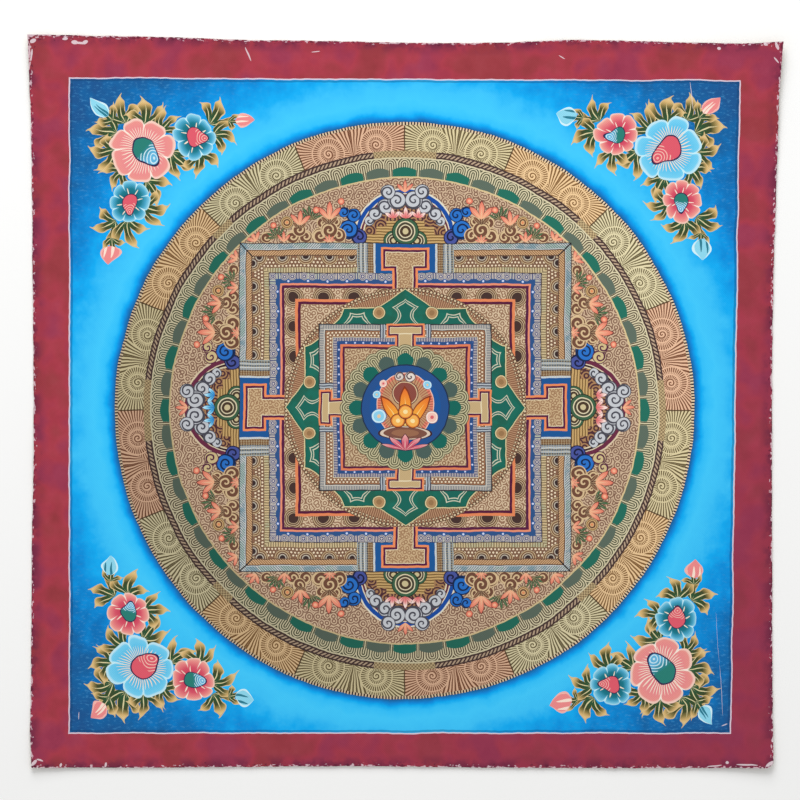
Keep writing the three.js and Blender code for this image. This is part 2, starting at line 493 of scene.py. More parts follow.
def fan(under, where, base, heading, length, blades, spread, bend, frill, colours, lines):
    """Paints blades that fan out from base: spread is the angle between two, bend their curl, in radians.
    The colours run from the base to the tips, and lines are the colours of the veins and of the outline."""
    local = node("Mapping", where, (*base, 0), (0, 0, math.radians(heading)), (length, length, 1))
    away, turn = polar(local)
    reach = node("MULTIPLY", away, ("MULTIPLY_ADD", ("MULTIPLY", turn, turn), SIDE_SHORTER, 1.0))
    in_fan = node("COMPARE", turn, 0.0, blades / 2 * spread)
    one_blade = node("WRAP", turn, spread / 2, -spread / 2)
    squared = node("MULTIPLY", reach, reach)
    off_vein = node("ABSOLUTE", ("MULTIPLY_ADD", squared, -bend, one_blade))
    lobes = node("SINE", ("MULTIPLY", reach, FRILL_WAVES))
    edge = node("MULTIPLY_ADD", lobes, frill, ("MULTIPLY_ADD", off_vein, BLADE_TAPER / spread, squared))
    colour = node("ValToRGB", reach, stops=colours)
    colour = node("Mix", ("GREATER_THAN", edge, OUTLINE_FROM), colour, lines[1])
    vein = node("LESS_THAN", off_vein, ("MapRange", reach, 0.0, VEIN_END, VEIN_WIDTH * spread, 0.0))
    colour = node("Mix", vein, colour, lines[0])
    return node("Mix", ("MULTIPLY", ("LESS_THAN", edge, 1.0), in_fan), under, colour)


LEAF_GREENS = [(0.0, "#2C5F44"), (0.34, "#344F30"), (0.52, "#434A2C"), (0.62, "#8A7A47"), (0.76, "#D8B476"),
               (1.0, "#F6E0B0")]
LEAF_LINES = ("#E2D6A4", "#D9BC86")
LEAF_BLADES, LEAF_SPREAD, LEAF_FRILL = 3, 0.9, 0.1
LEAVES = (  # base across and up the corner, heading, length, bend
    (184.0, 191.0, 66, 20.0, 0.35), (171.0, 190.0, 98, 18.5, -0.35), (160.0, 186.0, 128, 16.5, 0.35),
    (127.0, 191.0, 128, 18.0, -0.35), (126.0, 183.0, 178, 19.0, 0.4), (153.0, 171.0, 226, 19.0, -0.35),
    (136.0, 172.0, 254, 18.0, 0.35), (116.0, 193.0, 178, 10.0, 0.3), (193.0, 193.0, 45, 14.0, 0.0),
)
for *base, heading, length, bend in LEAVES:
    paint = fan(
        paint, corner, base, heading, length, LEAF_BLADES, LEAF_SPREAD, bend, LEAF_FRILL,
        LEAF_GREENS, LEAF_LINES,
    )
print(len(LEAVES), "leaf clusters on half a spray")

# %% Stripes, and a bud that has them
BUD_BULGE = 0.75  # below 1 the widest place lies nearer to the base
BUD_STRIPES = 9.0
BUD_RIM_FROM = 0.78  # of the way to its side


def stripes(place, count, level):
    """Gives a mask of stripes: count is their number in a turn, or tau over their pitch; level thins them."""
    return node("GREATER_THAN", ("SINE", ("MULTIPLY", place, count)), level)


def bud(under, base, heading, length, width, pink):
    """Paints a striped bud from its base to its tip; pink is the mask of the corners where it is pink."""
    local = node("Mapping", corner, (*base, 0), (0, 0, math.radians(heading)), (length, width / 2, 1))
    reach, aside, _ = node("SeparateXYZ", local).outputs
    bulge = node("SINE", ("MULTIPLY", ("POWER", reach, BUD_BULGE), math.pi))
    fullness = node("DIVIDE", ("ABSOLUTE", aside), bulge)
    lit = stripes(aside, BUD_STRIPES, node("MapRange", reach, 0.15, 0.8, 0.3, 1.1))
    body = node("Mix", pink, "#8FD8EE", "#EE8C8C")
    body = node("Mix", lit, body, ("Mix", pink, "#2E7C92", "#FBE3D2"))
    body = node("Mix", ("GREATER_THAN", fullness, BUD_RIM_FROM), body, ("Mix", pink, "#D3F2FA", "#F7B7AC"))
    inside = node("LESS_THAN", fullness, 1.0)
    return node("Mix", ("MULTIPLY", inside, ("COMPARE", reach, 0.5, 0.5)), under, body)


paint = bud(paint, (111.5, 193.5), heading=176, length=14.0, width=12.0, pink=warm)
paint = bud(paint, (196.5, 196.5), heading=45, length=15.0, width=10.8, pink=cool)
print("one bud on the axis and one at each end of a spray")

# %% A blossom with a drop-shaped heart
NOTCH_SHARPNESS = 4.0
HEART_SHARE = 0.4  # of the blossom's reach
HEART_DROP, HEART_POINT = 0.38, 7.0  # how far the tip is drawn out, and how narrow it is
RIPPLE_MIDDLE, RIPPLES = (0.42, 0, 0), 66.0  # light lines round a place near the tip, tau over their pitch


def blossom(under, middle, reach, heading, lobes, notch, strokes, boldness, pink, ramps):
    """Paints a lobed blossom; ramps holds its colours from the heart to the rim, cool ones and then pink."""
    local = node("Mapping", corner, (*middle, 0), (0, 0, math.radians(heading)), (reach, reach, 1))
    local_x, local_y, _ = node("SeparateXYZ", local).outputs
    away = node("VectorMath LENGTH", local)
    turn = node("ARCTAN2", local_y, local_x)
    to_notch = node("MULTIPLY", ("PINGPONG", turn, math.pi / lobes), lobes / math.pi)
    share = node("DIVIDE", away, ("MULTIPLY_ADD", ("POWER", to_notch, NOTCH_SHARPNESS), -notch, 1.0))
    cool_petal = node("ValToRGB", share, stops=ramps[0])
    body = node("Mix", pink, cool_petal, node("ValToRGB", share, stops=ramps[1]))
    thinning = node("MapRange", away, 0.42, 0.78, 1.0 - boldness, 1.05)
    body = node("Mix", stripes(turn, strokes, thinning), body, "#F8E4CE")
    parting = node("GREATER_THAN", to_notch, ("MapRange", away, 0.4, 1.0, 1.02, 0.86))
    body = node("Mix", parting, body, ("Mix", pink, "#C6EEF8", "#FBE9DC"))
    paint_so_far = node("Mix", ("LESS_THAN", share, 1.0), under, body)
    ahead = node("MAXIMUM", ("COSINE", turn), 0.0)
    drawn_out = node("MULTIPLY_ADD", ("POWER", ahead, HEART_POINT), -HEART_DROP, 1.0)
    heart = node("DIVIDE", ("MULTIPLY", away, drawn_out), HEART_SHARE)
    ripple = stripes(node("VectorMath DISTANCE", local, RIPPLE_MIDDLE), RIPPLES, 0.6)
    near_tip = node("GREATER_THAN", local_x, 0.06)
    cool_heart = node("ValToRGB", local_x, stops=[(0.0, "#2B7F74"), (0.1, "#2F8794"), (0.3, "#62B4DC")])
    heart_body = node("Mix", pink, "#E05C6C", cool_heart)
    heart_line = node("Mix", pink, "#F6C3B4", "#D4EEF6")
    heart_body = node("Mix", ("MULTIPLY", ripple, near_tip), heart_body, heart_line)
    heart_body = node("Mix", ("GREATER_THAN", heart, 0.9), heart_body, "#35284E")
    return node("Mix", ("LESS_THAN", heart, 1.0), paint_so_far, heart_body)


LARGE_PETALS = (
    [(0.3, "#3FA6D8"), (0.7, "#62C6EE"), (0.9, "#76D0F2"), (0.955, "#C2E9F6")],
    [(0.3, "#DB6478"), (0.6, "#EA8A8E"), (0.9, "#EC958E"), (0.955, "#F6CFC0")],
)
SMALL_PETALS = (
    [(0.3, "#14606C"), (0.6, "#1C7A8C"), (0.8, "#4AA6C8"), (0.92, "#7CC8E2"), (0.97, "#ACDDEE")],
    [(0.3, "#C63A54"), (0.6, "#D9566A"), (0.8, "#E98484"), (0.92, "#EFA296"), (0.97, "#F5CCBC")],
)
paint = blossom(
    paint, (138.3, 181.6), reach=14.2, heading=180, lobes=8, notch=0.13, strokes=8, boldness=0.1,
    pink=cool, ramps=SMALL_PETALS,
)
paint = blossom(
    paint, (173.0, 173.0), reach=21.8, heading=225, lobes=7, notch=0.17, strokes=46, boldness=0.75,
    pink=warm, ramps=LARGE_PETALS,
)
print("two kinds of blossom on half a spray")

# %% [markdown]
# ### Wear on the border
#
# The chalk ground shows white where the paint has chipped off along the cut edge, most of all at the
# corners and at the left of the top edge. A chip is a noise that passes a limit, and the limit rises away
# from the edge. The low parts of the same noise are dark stains. Scuffs and scratches are placed one by
# one, each a long thin oval.

# %% Chips along the cut edge
CHIP_SIZE, CHIP_LENGTH_SHARE = 1.7, 0.5  # mm across; chips are longer along the edge
CHIP_REACH = 4.5  # mm from the rim where the chips end
CORNER_FROM, CORNER_FULL, CORNER_EASE = 226.0, 244.0, 0.07  # mm out; chips come easier at the corners
LEFT_FROM, LEFT_FULL, LEFT_EASE = 255.0, 298.0, 0.05  # and at the left of the top edge
LEFT_LEAN = 0.25  # how much going left counts beside going up
CHIP_STRENGTH, STAIN_STRENGTH = 0.7, 0.6

beside = node("GREATER_THAN", fold_x, fold_y)
chip_shape = node("Mix", beside, (CHIP_LENGTH_SHARE, 1, 0), (1, CHIP_LENGTH_SHARE, 0), data_type="VECTOR")
chip_noise = node("TexNoise", ("VectorMath MULTIPLY", hand, chip_shape), 1 / CHIP_SIZE, 2.0, 0.6)
cornered = node("MapRange", near_side, CORNER_FROM, CORNER_FULL, 0.0, CORNER_EASE)
up_left = node("MULTIPLY_ADD", x, -LEFT_LEAN, y)
ease = node("ADD", cornered, ("MapRange", up_left, LEFT_FROM, LEFT_FULL, 0.0, LEFT_EASE))
chip_limit = node("MapRange", rim, 0.0, CHIP_REACH, 0.51, 1.0, interpolation_type="LINEAR", clamp=False)
chip = node("GREATER_THAN", chip_noise, ("SUBTRACT", chip_limit, ease))
stain_limit = node("MapRange", rim, 0.0, CHIP_REACH, 0.42, 0.16, interpolation_type="LINEAR", clamp=False)
stain = node("LESS_THAN", chip_noise, ("ADD", stain_limit, ease))
paint = node("Mix", ("MULTIPLY", stain, STAIN_STRENGTH), paint, "#4A1D30")
paint = node("Mix", ("MULTIPLY", chip, CHIP_STRENGTH), paint, "#E6CDD6")
print("chips", CHIP_SIZE, "mm, up to", CHIP_REACH, "mm in")

# %% Scuffs and scratches
SCUFFS = (  # place in mm, heading in degrees, length and width in mm
    (-105.0, 231.6, -68, 10.0, 0.9), (-220.4, 239.0, -8, 4.4, 2.6), (-217.0, 238.6, 0, 8.0, 1.5),
    (-213.6, 239.2, 20, 4.0, 2.4), (-248.3, 240.0, 30, 4.2, 2.8), (-226.6, 241.4, 10, 3.6, 2.0),
    (-249.4, 230.6, 84, 8.0, 1.3), (209.0, 235.0, 0, 2.4, 2.0), (239.7, 237.8, -20, 3.0, 1.8),
    (247.4, 236.8, -65, 5.4, 1.9), (247.2, 227.2, -50, 5.0, 1.1), (249.4, 207.4, 80, 3.0, 1.4),
    (190.6, 203.5, -84, 18.0, 0.45), (210.3, -192.6, -86, 34.0, 0.28), (213.0, -215.6, 20, 4.0, 0.7),
    (208.0, -157.7, -86, 36.0, 0.15),
    (-217.6, -209.6, 86, 5.0, 0.5), (-60.0, 233.0, 8, 6.0, 0.6), (104.0, 229.4, -30, 4.6, 0.6),
    (-247.4, -240.4, 50, 5.4, 2.2), (-243.4, -238.6, -20, 4.6, 1.2), (-229.9, -242.0, 70, 2.8, 1.6),
    (-200.0, -242.2, 80, 3.4, 1.4), (214.4, -240.4, 0, 2.2, 2.0), (206.0, -242.6, 6, 10.0, 0.9),
    (227.6, -242.2, -4, 14.0, 1.1), (242.6, -241.6, 35, 6.0, 1.9), (244.6, -225.8, 80, 3.2, 1.5),
)
SCUFF_STRENGTH = 0.75

scuffed = 0.0
for scuff_x, scuff_y, heading, length, width in SCUFFS:
    turned = (0, 0, math.radians(heading))
    local = node("Mapping", hand, (scuff_x, scuff_y, 0), turned, (length / 2, width / 2, 1))
    inside = node("LESS_THAN", ("VectorMath LENGTH", local), 1.0)
    scuffed = node("MAXIMUM", scuffed, inside)
paint = node("Mix", ("MULTIPLY", scuffed, SCUFF_STRENGTH), paint, "#EBDCE2")
node("NodeGroupOutput", paint)
print(len(SCUFFS), "scuffs;", len(sky_panel.nodes), "nodes on the sky panel")

# %% [markdown]
# ### The gilded rings
#
# The disc is earth brown, covered with gold lines one to two millimetres apart. Its outermost ring has
# sixteen stretches, each in its own tint, because a painter mixes one pot of gold for each. A stretch holds
# two shells that mirror each other, each a dome of comb strokes over a smaller one, with a sheaf of lines
# between them and rays out to the beaded rim. Folding the angle draws one shell and gives thirty-two.

# %% Shell ring with changing golds
STRETCHES = 16
SHELL_BASE = 177.0  # distance from the middle where the shells stand
SHELL_TURN = 0.105  # radians from a seam to the middle of a shell
SHELL_REACH, SHELL_COMB, SHELL_HEART, HEART_COMB = 10.2, 7.3, 5.2, 3.2  # half widths of its four arches
COMB_STROKES, HEART_STROKES, RAY_STROKES, SHEAF_STROKES = 40, 24, 58, 58
COMB_LEVEL, BETWEEN_LEVEL = -0.15, 0.62  # dark strokes are broad on the combs and fine between them
SPIRAL_PITCH = 2.0  # mm, of the line wound in a shell's heart
SHEAF_FOOT = 10.0  # mm below the shells' foot, where the lines of a sheaf meet
SHEAF_HALF, SHEAF_LEAN = 4.1, 0.7  # mm at the shells' foot, and the growth a mm outwards
ARCH_LINE_OUT, ARCH_LINE_HALF = 0.3, 0.38  # mm: a light line runs round a shell and round its heart
DARK_GOLDS = [(0.0, "#754B35"), (0.25, "#655A3E"), (0.5, "#7D5A35"), (0.75, "#66583B")]
LIGHT_GOLDS = [(0.0, "#DBB293"), (0.25, "#D6CBA4"), (0.5, "#E2C092"), (0.75, "#D4C69C")]

rings_panel = pigments = open_panel("gilded_rings")
hand, compass, side, radius, angle, along, out, brush, rim, _ = node("NodeGroupInput").outputs
stretch = node("FRACT", ("MULTIPLY", angle, 4 / math.tau))
from_seam = node("PINGPONG", angle, math.pi / STRETCHES)
shell_x = node("MULTIPLY", ("SUBTRACT", from_seam, SHELL_TURN), SHELL_BASE)
shell_y = node("SUBTRACT", radius, SHELL_BASE)
shell_away = node("VectorMath LENGTH", ("CombineXYZ", shell_x, shell_y))
shell_angle = node("ARCTAN2", shell_y, shell_x)
near_heart = node("LESS_THAN", shell_away, SHELL_HEART)
on_combs = node(
    "MAXIMUM",
    ("COMPARE", shell_away, (SHELL_REACH + SHELL_COMB) / 2, (SHELL_REACH - SHELL_COMB) / 2),
    ("COMPARE", shell_away, (SHELL_HEART + HEART_COMB) / 2, (SHELL_HEART - HEART_COMB) / 2),
)
strokes = node("Mix", near_heart, COMB_STROKES, HEART_STROKES, data_type="FLOAT")
comb_level = node("Mix", on_combs, BETWEEN_LEVEL, COMB_LEVEL, data_type="FLOAT")
comb_dark = stripes(shell_angle, strokes, comb_level)
wound = node("SINE", ("MULTIPLY_ADD", shell_away, math.tau / SPIRAL_PITCH, shell_angle))
heart_dark = node("GREATER_THAN", wound, 0.25)
rays = node("SINE", ("MULTIPLY", shell_angle, RAY_STROKES))
from_sheaf = node("MULTIPLY", ("SUBTRACT", math.pi / STRETCHES, from_seam), SHELL_BASE)
sheaf = node("SINE", ("MULTIPLY", ("ARCTAN2", from_sheaf, ("ADD", shell_y, SHEAF_FOOT)), SHEAF_STROKES))
in_sheaf = node("LESS_THAN", from_sheaf, ("MULTIPLY_ADD", shell_y, SHEAF_LEAN, SHEAF_HALF))
ray_dark = node("GREATER_THAN", node("Mix", in_sheaf, rays, sheaf, data_type="FLOAT"), 0.1)
in_heart = node("LESS_THAN", shell_away, HEART_COMB)
in_shell = node("LESS_THAN", shell_away, SHELL_REACH)
shell_dark = node("Mix", in_heart, comb_dark, heart_dark, data_type="FLOAT")
dark = node("Mix", in_shell, ray_dark, shell_dark, data_type="FLOAT")
for arch_reach in (SHELL_REACH, SHELL_HEART):
    on_line = node("COMPARE", shell_away, arch_reach + ARCH_LINE_OUT, ARCH_LINE_HALF)
    dark = node("SUBTRACT", dark, on_line)
dark_gold = node("ValToRGB", stretch, stops=DARK_GOLDS, interpolation="CONSTANT")
light_gold = node("ValToRGB", stretch, stops=LIGHT_GOLDS, interpolation="CONSTANT")
paint = node("Mix", dark, light_gold, dark_gold)
print(2 * STRETCHES, "shells on a ring of", round(math.tau * SHELL_BASE), "mm")

# %% Beaded rim and the seams between the stretches
BEADS = 600
RIM_MIDDLE, RIM_HALF = 190.4, 1.0
SEAM_HALF = 0.0022  # radians
SEAM_MIDDLE, SEAM_REACH = 181.0, 8.2  # mm

bead_colour = node("Mix", stripes(angle, BEADS, -0.1), "#2E2028", "#D9C3A2")
paint = node("Mix", ("COMPARE", radius, RIM_MIDDLE, RIM_HALF), paint, bead_colour)
seam = node("LESS_THAN", from_seam, SEAM_HALF)
paint = node("Mix", ("MULTIPLY", seam, ("COMPARE", radius, SEAM_MIDDLE, SEAM_REACH)), paint, "#54402C")
print(BEADS, "beads,", round(math.tau * RIM_MIDDLE / BEADS, 2), "mm apart")

# %% [markdown]
# ### Rope, petals and leaf greens
#
# Inside the shells lies a dark rope in eight lengths, then a lotus seen from above: small scallops of
# gold arcs over petals that are bright green and dull green by turns. These are again one motif each,
# wrapped round the circle.

# %% Gold arches of the lotus scallops
SCALLOPS = 112
SCALLOP_RADIUS = 163.4  # where the round tops of the arches have their middles
SCALLOP_LINE, SCALLOP_END = 167.4, 168.0  # a gold line close to where the scallops end
ARC_PITCH = 1.5  # mm; much finer strokes would run together in the picture, where a pixel is 0.67 mm wide


def arches(middle, count):
    """Gives the distance from the heart of the nearest arch, round above and upright below, and its arcs."""
    arch_x = node("MULTIPLY", ("WRAP", angle, math.pi / count, -math.pi / count), middle)
    arch_y = node("MAXIMUM", ("SUBTRACT", radius, middle), 0.0)
    away = node("VectorMath LENGTH", ("CombineXYZ", arch_x, arch_y))
    return away, node("GREATER_THAN", ("COSINE", ("MULTIPLY", away, math.tau / ARC_PITCH)), 0.0)


_, arcs = arches(SCALLOP_RADIUS, SCALLOPS)
gilded = node("MAXIMUM", arcs, ("COMPARE", radius, SCALLOP_LINE, 0.4))
arch_dark = node("ValToRGB", stretch, stops=[(0.0, "#524636"), (0.5, "#4B4D39")], interpolation="CONSTANT")
paint = node("Mix", ("LESS_THAN", radius, SCALLOP_END), paint, ("Mix", gilded, arch_dark, "#CEC4A2"))
print(SCALLOPS, "scallops,", round(math.tau * SCALLOP_RADIUS / SCALLOPS, 1), "mm apart")

# %% Dark rope in eight lengths
ROPE_MIDDLE, ROPE_HALF = 170.1, 2.2
ROPE_LIT_HALF = 1.15  # the light strands stay inside this
AXIS_GAP, CORNER_GAP = 0.12, 0.045  # half the gaps between two lengths, in radians
TWISTS, GAP_CHECKS = 380, 460  # round the circle
GAP_PITCH = 2.4  # mm
TWIST_LEAN = 2.2  # radians of twist a mm outwards

from_axis = node("PINGPONG", angle, math.pi / 4)
rope_length = math.pi / 4 - AXIS_GAP - CORNER_GAP
roped = node("COMPARE", from_axis, AXIS_GAP + rope_length / 2, rope_length / 2)
twist_lean = node("MULTIPLY_ADD", radius, TWIST_LEAN, ("MULTIPLY", angle, TWISTS))
twist = node("GREATER_THAN", ("SINE", twist_lean), 0.0)
rope_lit = node("MULTIPLY", twist, ("COMPARE", radius, ROPE_MIDDLE, ROPE_LIT_HALF))
rope_brown = node("Mix", rope_lit, "#463432", "#B49C82")
on_rope = node("COMPARE", radius, ROPE_MIDDLE, ROPE_HALF)
across_gap = node("SINE", ("MULTIPLY", angle, GAP_CHECKS))
up_gap = node("SINE", ("MULTIPLY", radius, math.tau / GAP_PITCH))
between = node("Mix", ("GREATER_THAN", ("MULTIPLY", across_gap, up_gap), 0.0), "#7E6A4E", "#BCA67C")
paint = node("Mix", on_rope, paint, ("Mix", roped, between, rope_brown))
print("eight rope lengths of", round(ROPE_MIDDLE * rope_length), "mm")

# %% Bright and dull green petals
PETALS = 56
SHEEN_CHANGE, SHEEN_SIDE = 0.235, 0.54  # painted sheen: brighter towards the upper right and darker opposite, as gold that catches the light
PETAL_INNER = 154.7


def petals(under, count, inner, half, droop, outer, dull, bright):
    """Paints petals of two greens by turns, from the inner to the outer radius, with sides that droop."""
    aside = node("ABSOLUTE", ("MULTIPLY", ("WRAP", angle, math.pi / count, -math.pi / count), inner))
    below_tip = node("LESS_THAN", ("MULTIPLY_ADD", ("MULTIPLY", aside, aside), droop, radius), outer)
    by_turns = node("GREATER_THAN", ("COSINE", ("MULTIPLY", angle, count / 2)), 0.0)
    green = node("Mix", by_turns, dull, bright)
    return node("Mix", ("MULTIPLY", ("LESS_THAN", aside, half), below_tip), under, green)


paint = petals(
    paint, PETALS, PETAL_INNER, half=7.5, droop=0.034, outer=161.4, dull="#58665A", bright="#226858"
)
paint = node("Mix", ("COMPARE", radius, PETAL_INNER, 0.5), paint, "#CDB88A")
# Painted sheen: the whole rings panel is painted brighter towards the upper right and darker opposite
painted_sheen = node("MULTIPLY_ADD", ("COSINE", ("SUBTRACT", angle, SHEEN_SIDE)), SHEEN_CHANGE, 0.995)
node("NodeGroupOutput", ("HueSaturation", 0.5, 1.0, painted_sheen, 1.0, paint))
print(PETALS, "petals,", round(math.tau * PETAL_INNER / PETALS, 1), "mm apart")

# %% [markdown]
# ### Three brush habits
#
# Three small functions hold the habits that the painter uses again and again: scrollwork to fill a ground,
# a round motif in rings of colour, and a cloud curl wound round its middle. The last two take the painting
# so far and give it back with the motif on it.


# %% Scrollwork for a filled ground
def scrollwork(where, scroll, pitch, dark, light):
    """Gold ripples round scattered points: scroll is the spacing of the points, pitch that of the lines."""
    points = node("TexVoronoi", where, 1 / scroll, 0.0, 0.5, 2.0, 0.9)
    return node("Mix", stripes(points, math.tau * scroll / pitch, 0.1), dark, light)


offerings_panel = pigments = open_panel("offerings")
hand, compass, side, radius, angle, along, out, brush, rim, _ = node("NodeGroupInput").outputs
paint = scrollwork(hand, scroll=4.8, pitch=1.5, dark="#836250", light="#CFB496")
print("scrollwork inside", GROUND_RADIUS, "mm")


# %% A round motif in rings of colour
def roundel(under, where, middle, reach, rings):
    """Paints a disc about middle: rings are (share of the reach, colour) from the heart outwards."""
    share = node("DIVIDE", ("VectorMath DISTANCE", where, (*middle, 0)), reach)
    colour = node("ValToRGB", share, stops=rings, interpolation="CONSTANT")
    return node("Mix", ("LESS_THAN", share, 1.0), under, colour)


# %% A cloud curl
def curl(under, where, middle, reach, turns, pale, dark):
    """Paints a pale disc wound with one dark spiral line, inside a dark outline."""
    away, turn = polar(node("VectorMath SUBTRACT", where, (*middle, 0)))
    share = node("DIVIDE", away, reach)
    line = node("GREATER_THAN", ("SINE", ("MULTIPLY_ADD", share, math.tau * turns, turn)), 0.5)
    colour = node("Mix", ("MAXIMUM", line, ("GREATER_THAN", share, OUTLINE_FROM)), pale, dark)
    return node("Mix", ("LESS_THAN", share, 1.0), under, colour)


# %% [markdown]
# ### Offerings round the palace
#
# Between the lotus and the palace lie offerings on a brown ground: an arch with a crest of domes and a row
# of lotuses over each gate, white clouds above and blue waves beside it, then brown hills with flames on
# top, wheels and small trees. They are plain traditional shapes, and the folded coordinates repeat them on
# every side.

# %% Arch, plinth and domes over a gate
RINGS = {  # share of the reach and colour, from the heart outwards
    "arch": [(0.0, "#6A4438"), (0.8, "#DED3B4"), (0.825, "#6A2B40"), (0.865, "#E6DCC0"), (0.885, "#1B4C9E"),
             (0.965, "#E0DCC8")],
    "side arch": [(0.0, "#6A4438"), (0.8, "#D8C9AA"), (0.825, "#3A2028"), (0.865, "#E0D2B2"),
                  (0.885, "#6A2C44"), (0.965, "#D8C6A6")],
    "dome": [(0.0, "#CDBE92"), (0.22, "#4B3A2C"), (0.42, "#DFD3B0"), (0.5, "#4A4436"), (0.66, "#DFD3B0"),
             (0.74, "#3C6046"), (0.94, "#23281F")],
    "jewel": [(0.0, "#F4B08E"), (0.45, "#E57F66"), (0.85, "#7C3B35")],
    "wheel": [(0.0, "#E08F62"), (0.22, "#D9BC84"), (0.32, "#6E4434"), (0.56, "#D9BC84"), (0.66, "#9A6E48"),
              (0.84, "#DCC690"), (0.92, "#46302A")],
}
ARCH_MIDDLE, ARCH_REACH = (0.0, 114.0), 34.0
ARCH_INSIDE = 0.8  # of the reach, filled with scrollwork
BRICK_COURSE = 1.9  # mm

east, north, _ = node("SeparateXYZ", compass).outputs
at_sides = node("GREATER_THAN", ("SUBTRACT", ("ABSOLUTE", east), ("ABSOLUTE", north)), 0.0)
side_arch = roundel(paint, side, ARCH_MIDDLE, ARCH_REACH, RINGS["side arch"])
paint = roundel(paint, side, ARCH_MIDDLE, ARCH_REACH, RINGS["arch"])
paint = node("Mix", at_sides, paint, side_arch)
arch_scroll = scrollwork(hand, scroll=6.5, pitch=2.0, dark="#4E2E36", light="#A98058")
from_arch = node("VectorMath DISTANCE", side, (*ARCH_MIDDLE, 0))
paint = node("Mix", ("LESS_THAN", from_arch, ARCH_INSIDE * ARCH_REACH), paint, arch_scroll)
brick = node("Mix", stripes(out, math.tau / BRICK_COURSE, 0.2), "#C9A66E", "#7E6038")
for step_half, step_top in ((26.0, 116.6), (19.0, 122.0), (12.5, 125.6)):
    in_step = node("MULTIPLY", ("LESS_THAN", out, step_top), ("LESS_THAN", along, step_half))
    paint = node("Mix", in_step, paint, brick)
paint = roundel(paint, side, (7.6, 112.6), 6.8, RINGS["dome"])
paint = roundel(paint, side, (0.0, 118.8), 9.0, RINGS["dome"])
print("an arch", 2 * ARCH_REACH, "mm wide over each gate")

# %% White clouds, blue waves and brown hills
CLOUD = ("#C4C7CC", "#4A4A54")
WAVE = ("#2A70C4", "#16284E")
DEEP_WAVE = ("#48549A", "#1C1E3E")
PLUME = (node("Mix", at_sides, "#2A70C4", "#CDB887"),
         node("Mix", at_sides, "#16284E", "#552140"))  # blue above and below, cream at the sides
EARTH = ("#704B3A", "#D6BA90")
CURLS = (  # along the side from the gate, out from the middle, reach, turns, pale and dark
    (23.4, 125.6, 3.4, 1.0, CLOUD), (19.6, 130.6, 4.6, 1.3, CLOUD), (13.2, 135.6, 5.4, 1.6, CLOUD),
    (5.6, 139.6, 6.2, 1.8, CLOUD), (11.2, 145.4, 5.0, 1.6, CLOUD), (30.6, 114.8, 5.4, 1.5, DEEP_WAVE),
    (37.6, 119.6, 6.6, 1.9, WAVE), (34.2, 129.4, 4.8, 1.5, PLUME), (40.6, 131.6, 3.6, 1.2, PLUME),
    (44.6, 115.6, 5.4, 1.6, EARTH), (56.8, 115.6, 5.4, 1.6, EARTH), (46.6, 124.6, 4.2, 1.3, EARTH),
    (55.0, 124.6, 4.2, 1.3, EARTH), (50.7, 119.4, 6.0, 1.7, EARTH), (66.4, 114.6, 4.4, 1.3, EARTH),
    (74.8, 114.6, 4.4, 1.3, EARTH), (70.6, 119.4, 4.6, 1.4, EARTH), (92.4, 114.6, 3.8, 1.2, EARTH),
)
for curl_along, curl_out, reach, turns, (pale, dark) in CURLS:
    paint = curl(paint, side, (curl_along, curl_out), reach, turns, pale, dark)
print(len(CURLS), "curls on half a side")

# %% Lotuses, flames and small trees
FAN_KINDS = {  # colours from the base to the tips, then those of the veins and of the outline
    "lotus": (
        [(0.0, "#D9605C"), (0.4, "#EE9C98"), (0.7, "#F6DCD2"), (1.0, "#F4E4DA")],
        ("#C8505A", "#7C4450"),
    ),
    "blue lotus": (
        [(0.0, "#2A7CC4"), (0.4, "#58B8EA"), (0.7, "#A8E2F8"), (1.0, "#DDF3FA")],
        ("#1C5CA8", "#1F4A7C"),
    ),
    "flame": (
        [(0.0, "#F2B48A"), (0.5, "#EC957A"), (1.0, "#DF7762")],
        ("#E8C09A", "#6A2F2E"),
    ),
    "hill": (
        [(0.0, "#4A3028"), (0.45, "#6E4A38"), (0.8, "#8A6048"), (1.0, "#A87A58")],
        ("#CDAE86", "#DCC29A"),
    ),
    "tree": (
        [(0.0, "#6A5A34"), (0.4, "#2F5A40"), (0.75, "#3F6B48"), (1.0, "#8C9A62")],
        ("#E8C09A", "#6A2F2E"),
    ),
}
LEFT_ROW = -110.0  # mm; the lotuses left of this are blue
FANS = (  # along the side, out from the middle, heading, length, blades, spread, kind
    (0.0, 127.2, 90, 8.4, 3, 0.85, "lotus"), (8.2, 127.4, 84, 7.4, 3, 0.85, "lotus"),
    (0.0, 144.6, 90, 8.8, 3, 0.7, "flame"), (63.0, 126.0, 82, 11.0, 7, 0.42, "tree"),
    (50.6, 123.0, 90, 9.0, 3, 0.8, "hill"), (50.6, 126.6, 90, 13.0, 3, 0.75, "flame"),
    (70.4, 120.0, 94, 7.0, 3, 0.8, "hill"), (70.2, 122.6, 94, 10.4, 3, 0.75, "flame"),
    (85.0, 114.0, 74, 9.4, 7, 0.42, "tree"), (99.4, 112.0, 60, 8.0, 3, 0.8, "flame"),
    (50.6, 111.2, 90, 5.6, 5, 0.6, "flame"), (80.6, 111.4, 90, 7.4, 3, 0.7, "flame"),
)


def side_fans(under, rows):
    """Paints the fans of these rows, each straight and without frills."""
    for *base, heading, length, blades, spread, kind in rows:
        colours, lines = FAN_KINDS[kind]
        under = fan(
            under, side, base, heading, length, blades, spread, bend=0.0, frill=0.0,
            colours=colours, lines=lines,
        )
    return under


paint = side_fans(paint, FANS)
blue_row = side_fans(paint, [(*row[:-1], "blue lotus") for row in FANS[:2]])
paint = node("Mix", ("LESS_THAN", east, LEFT_ROW), paint, blue_row)
print(len(FANS), "fans on half a side")

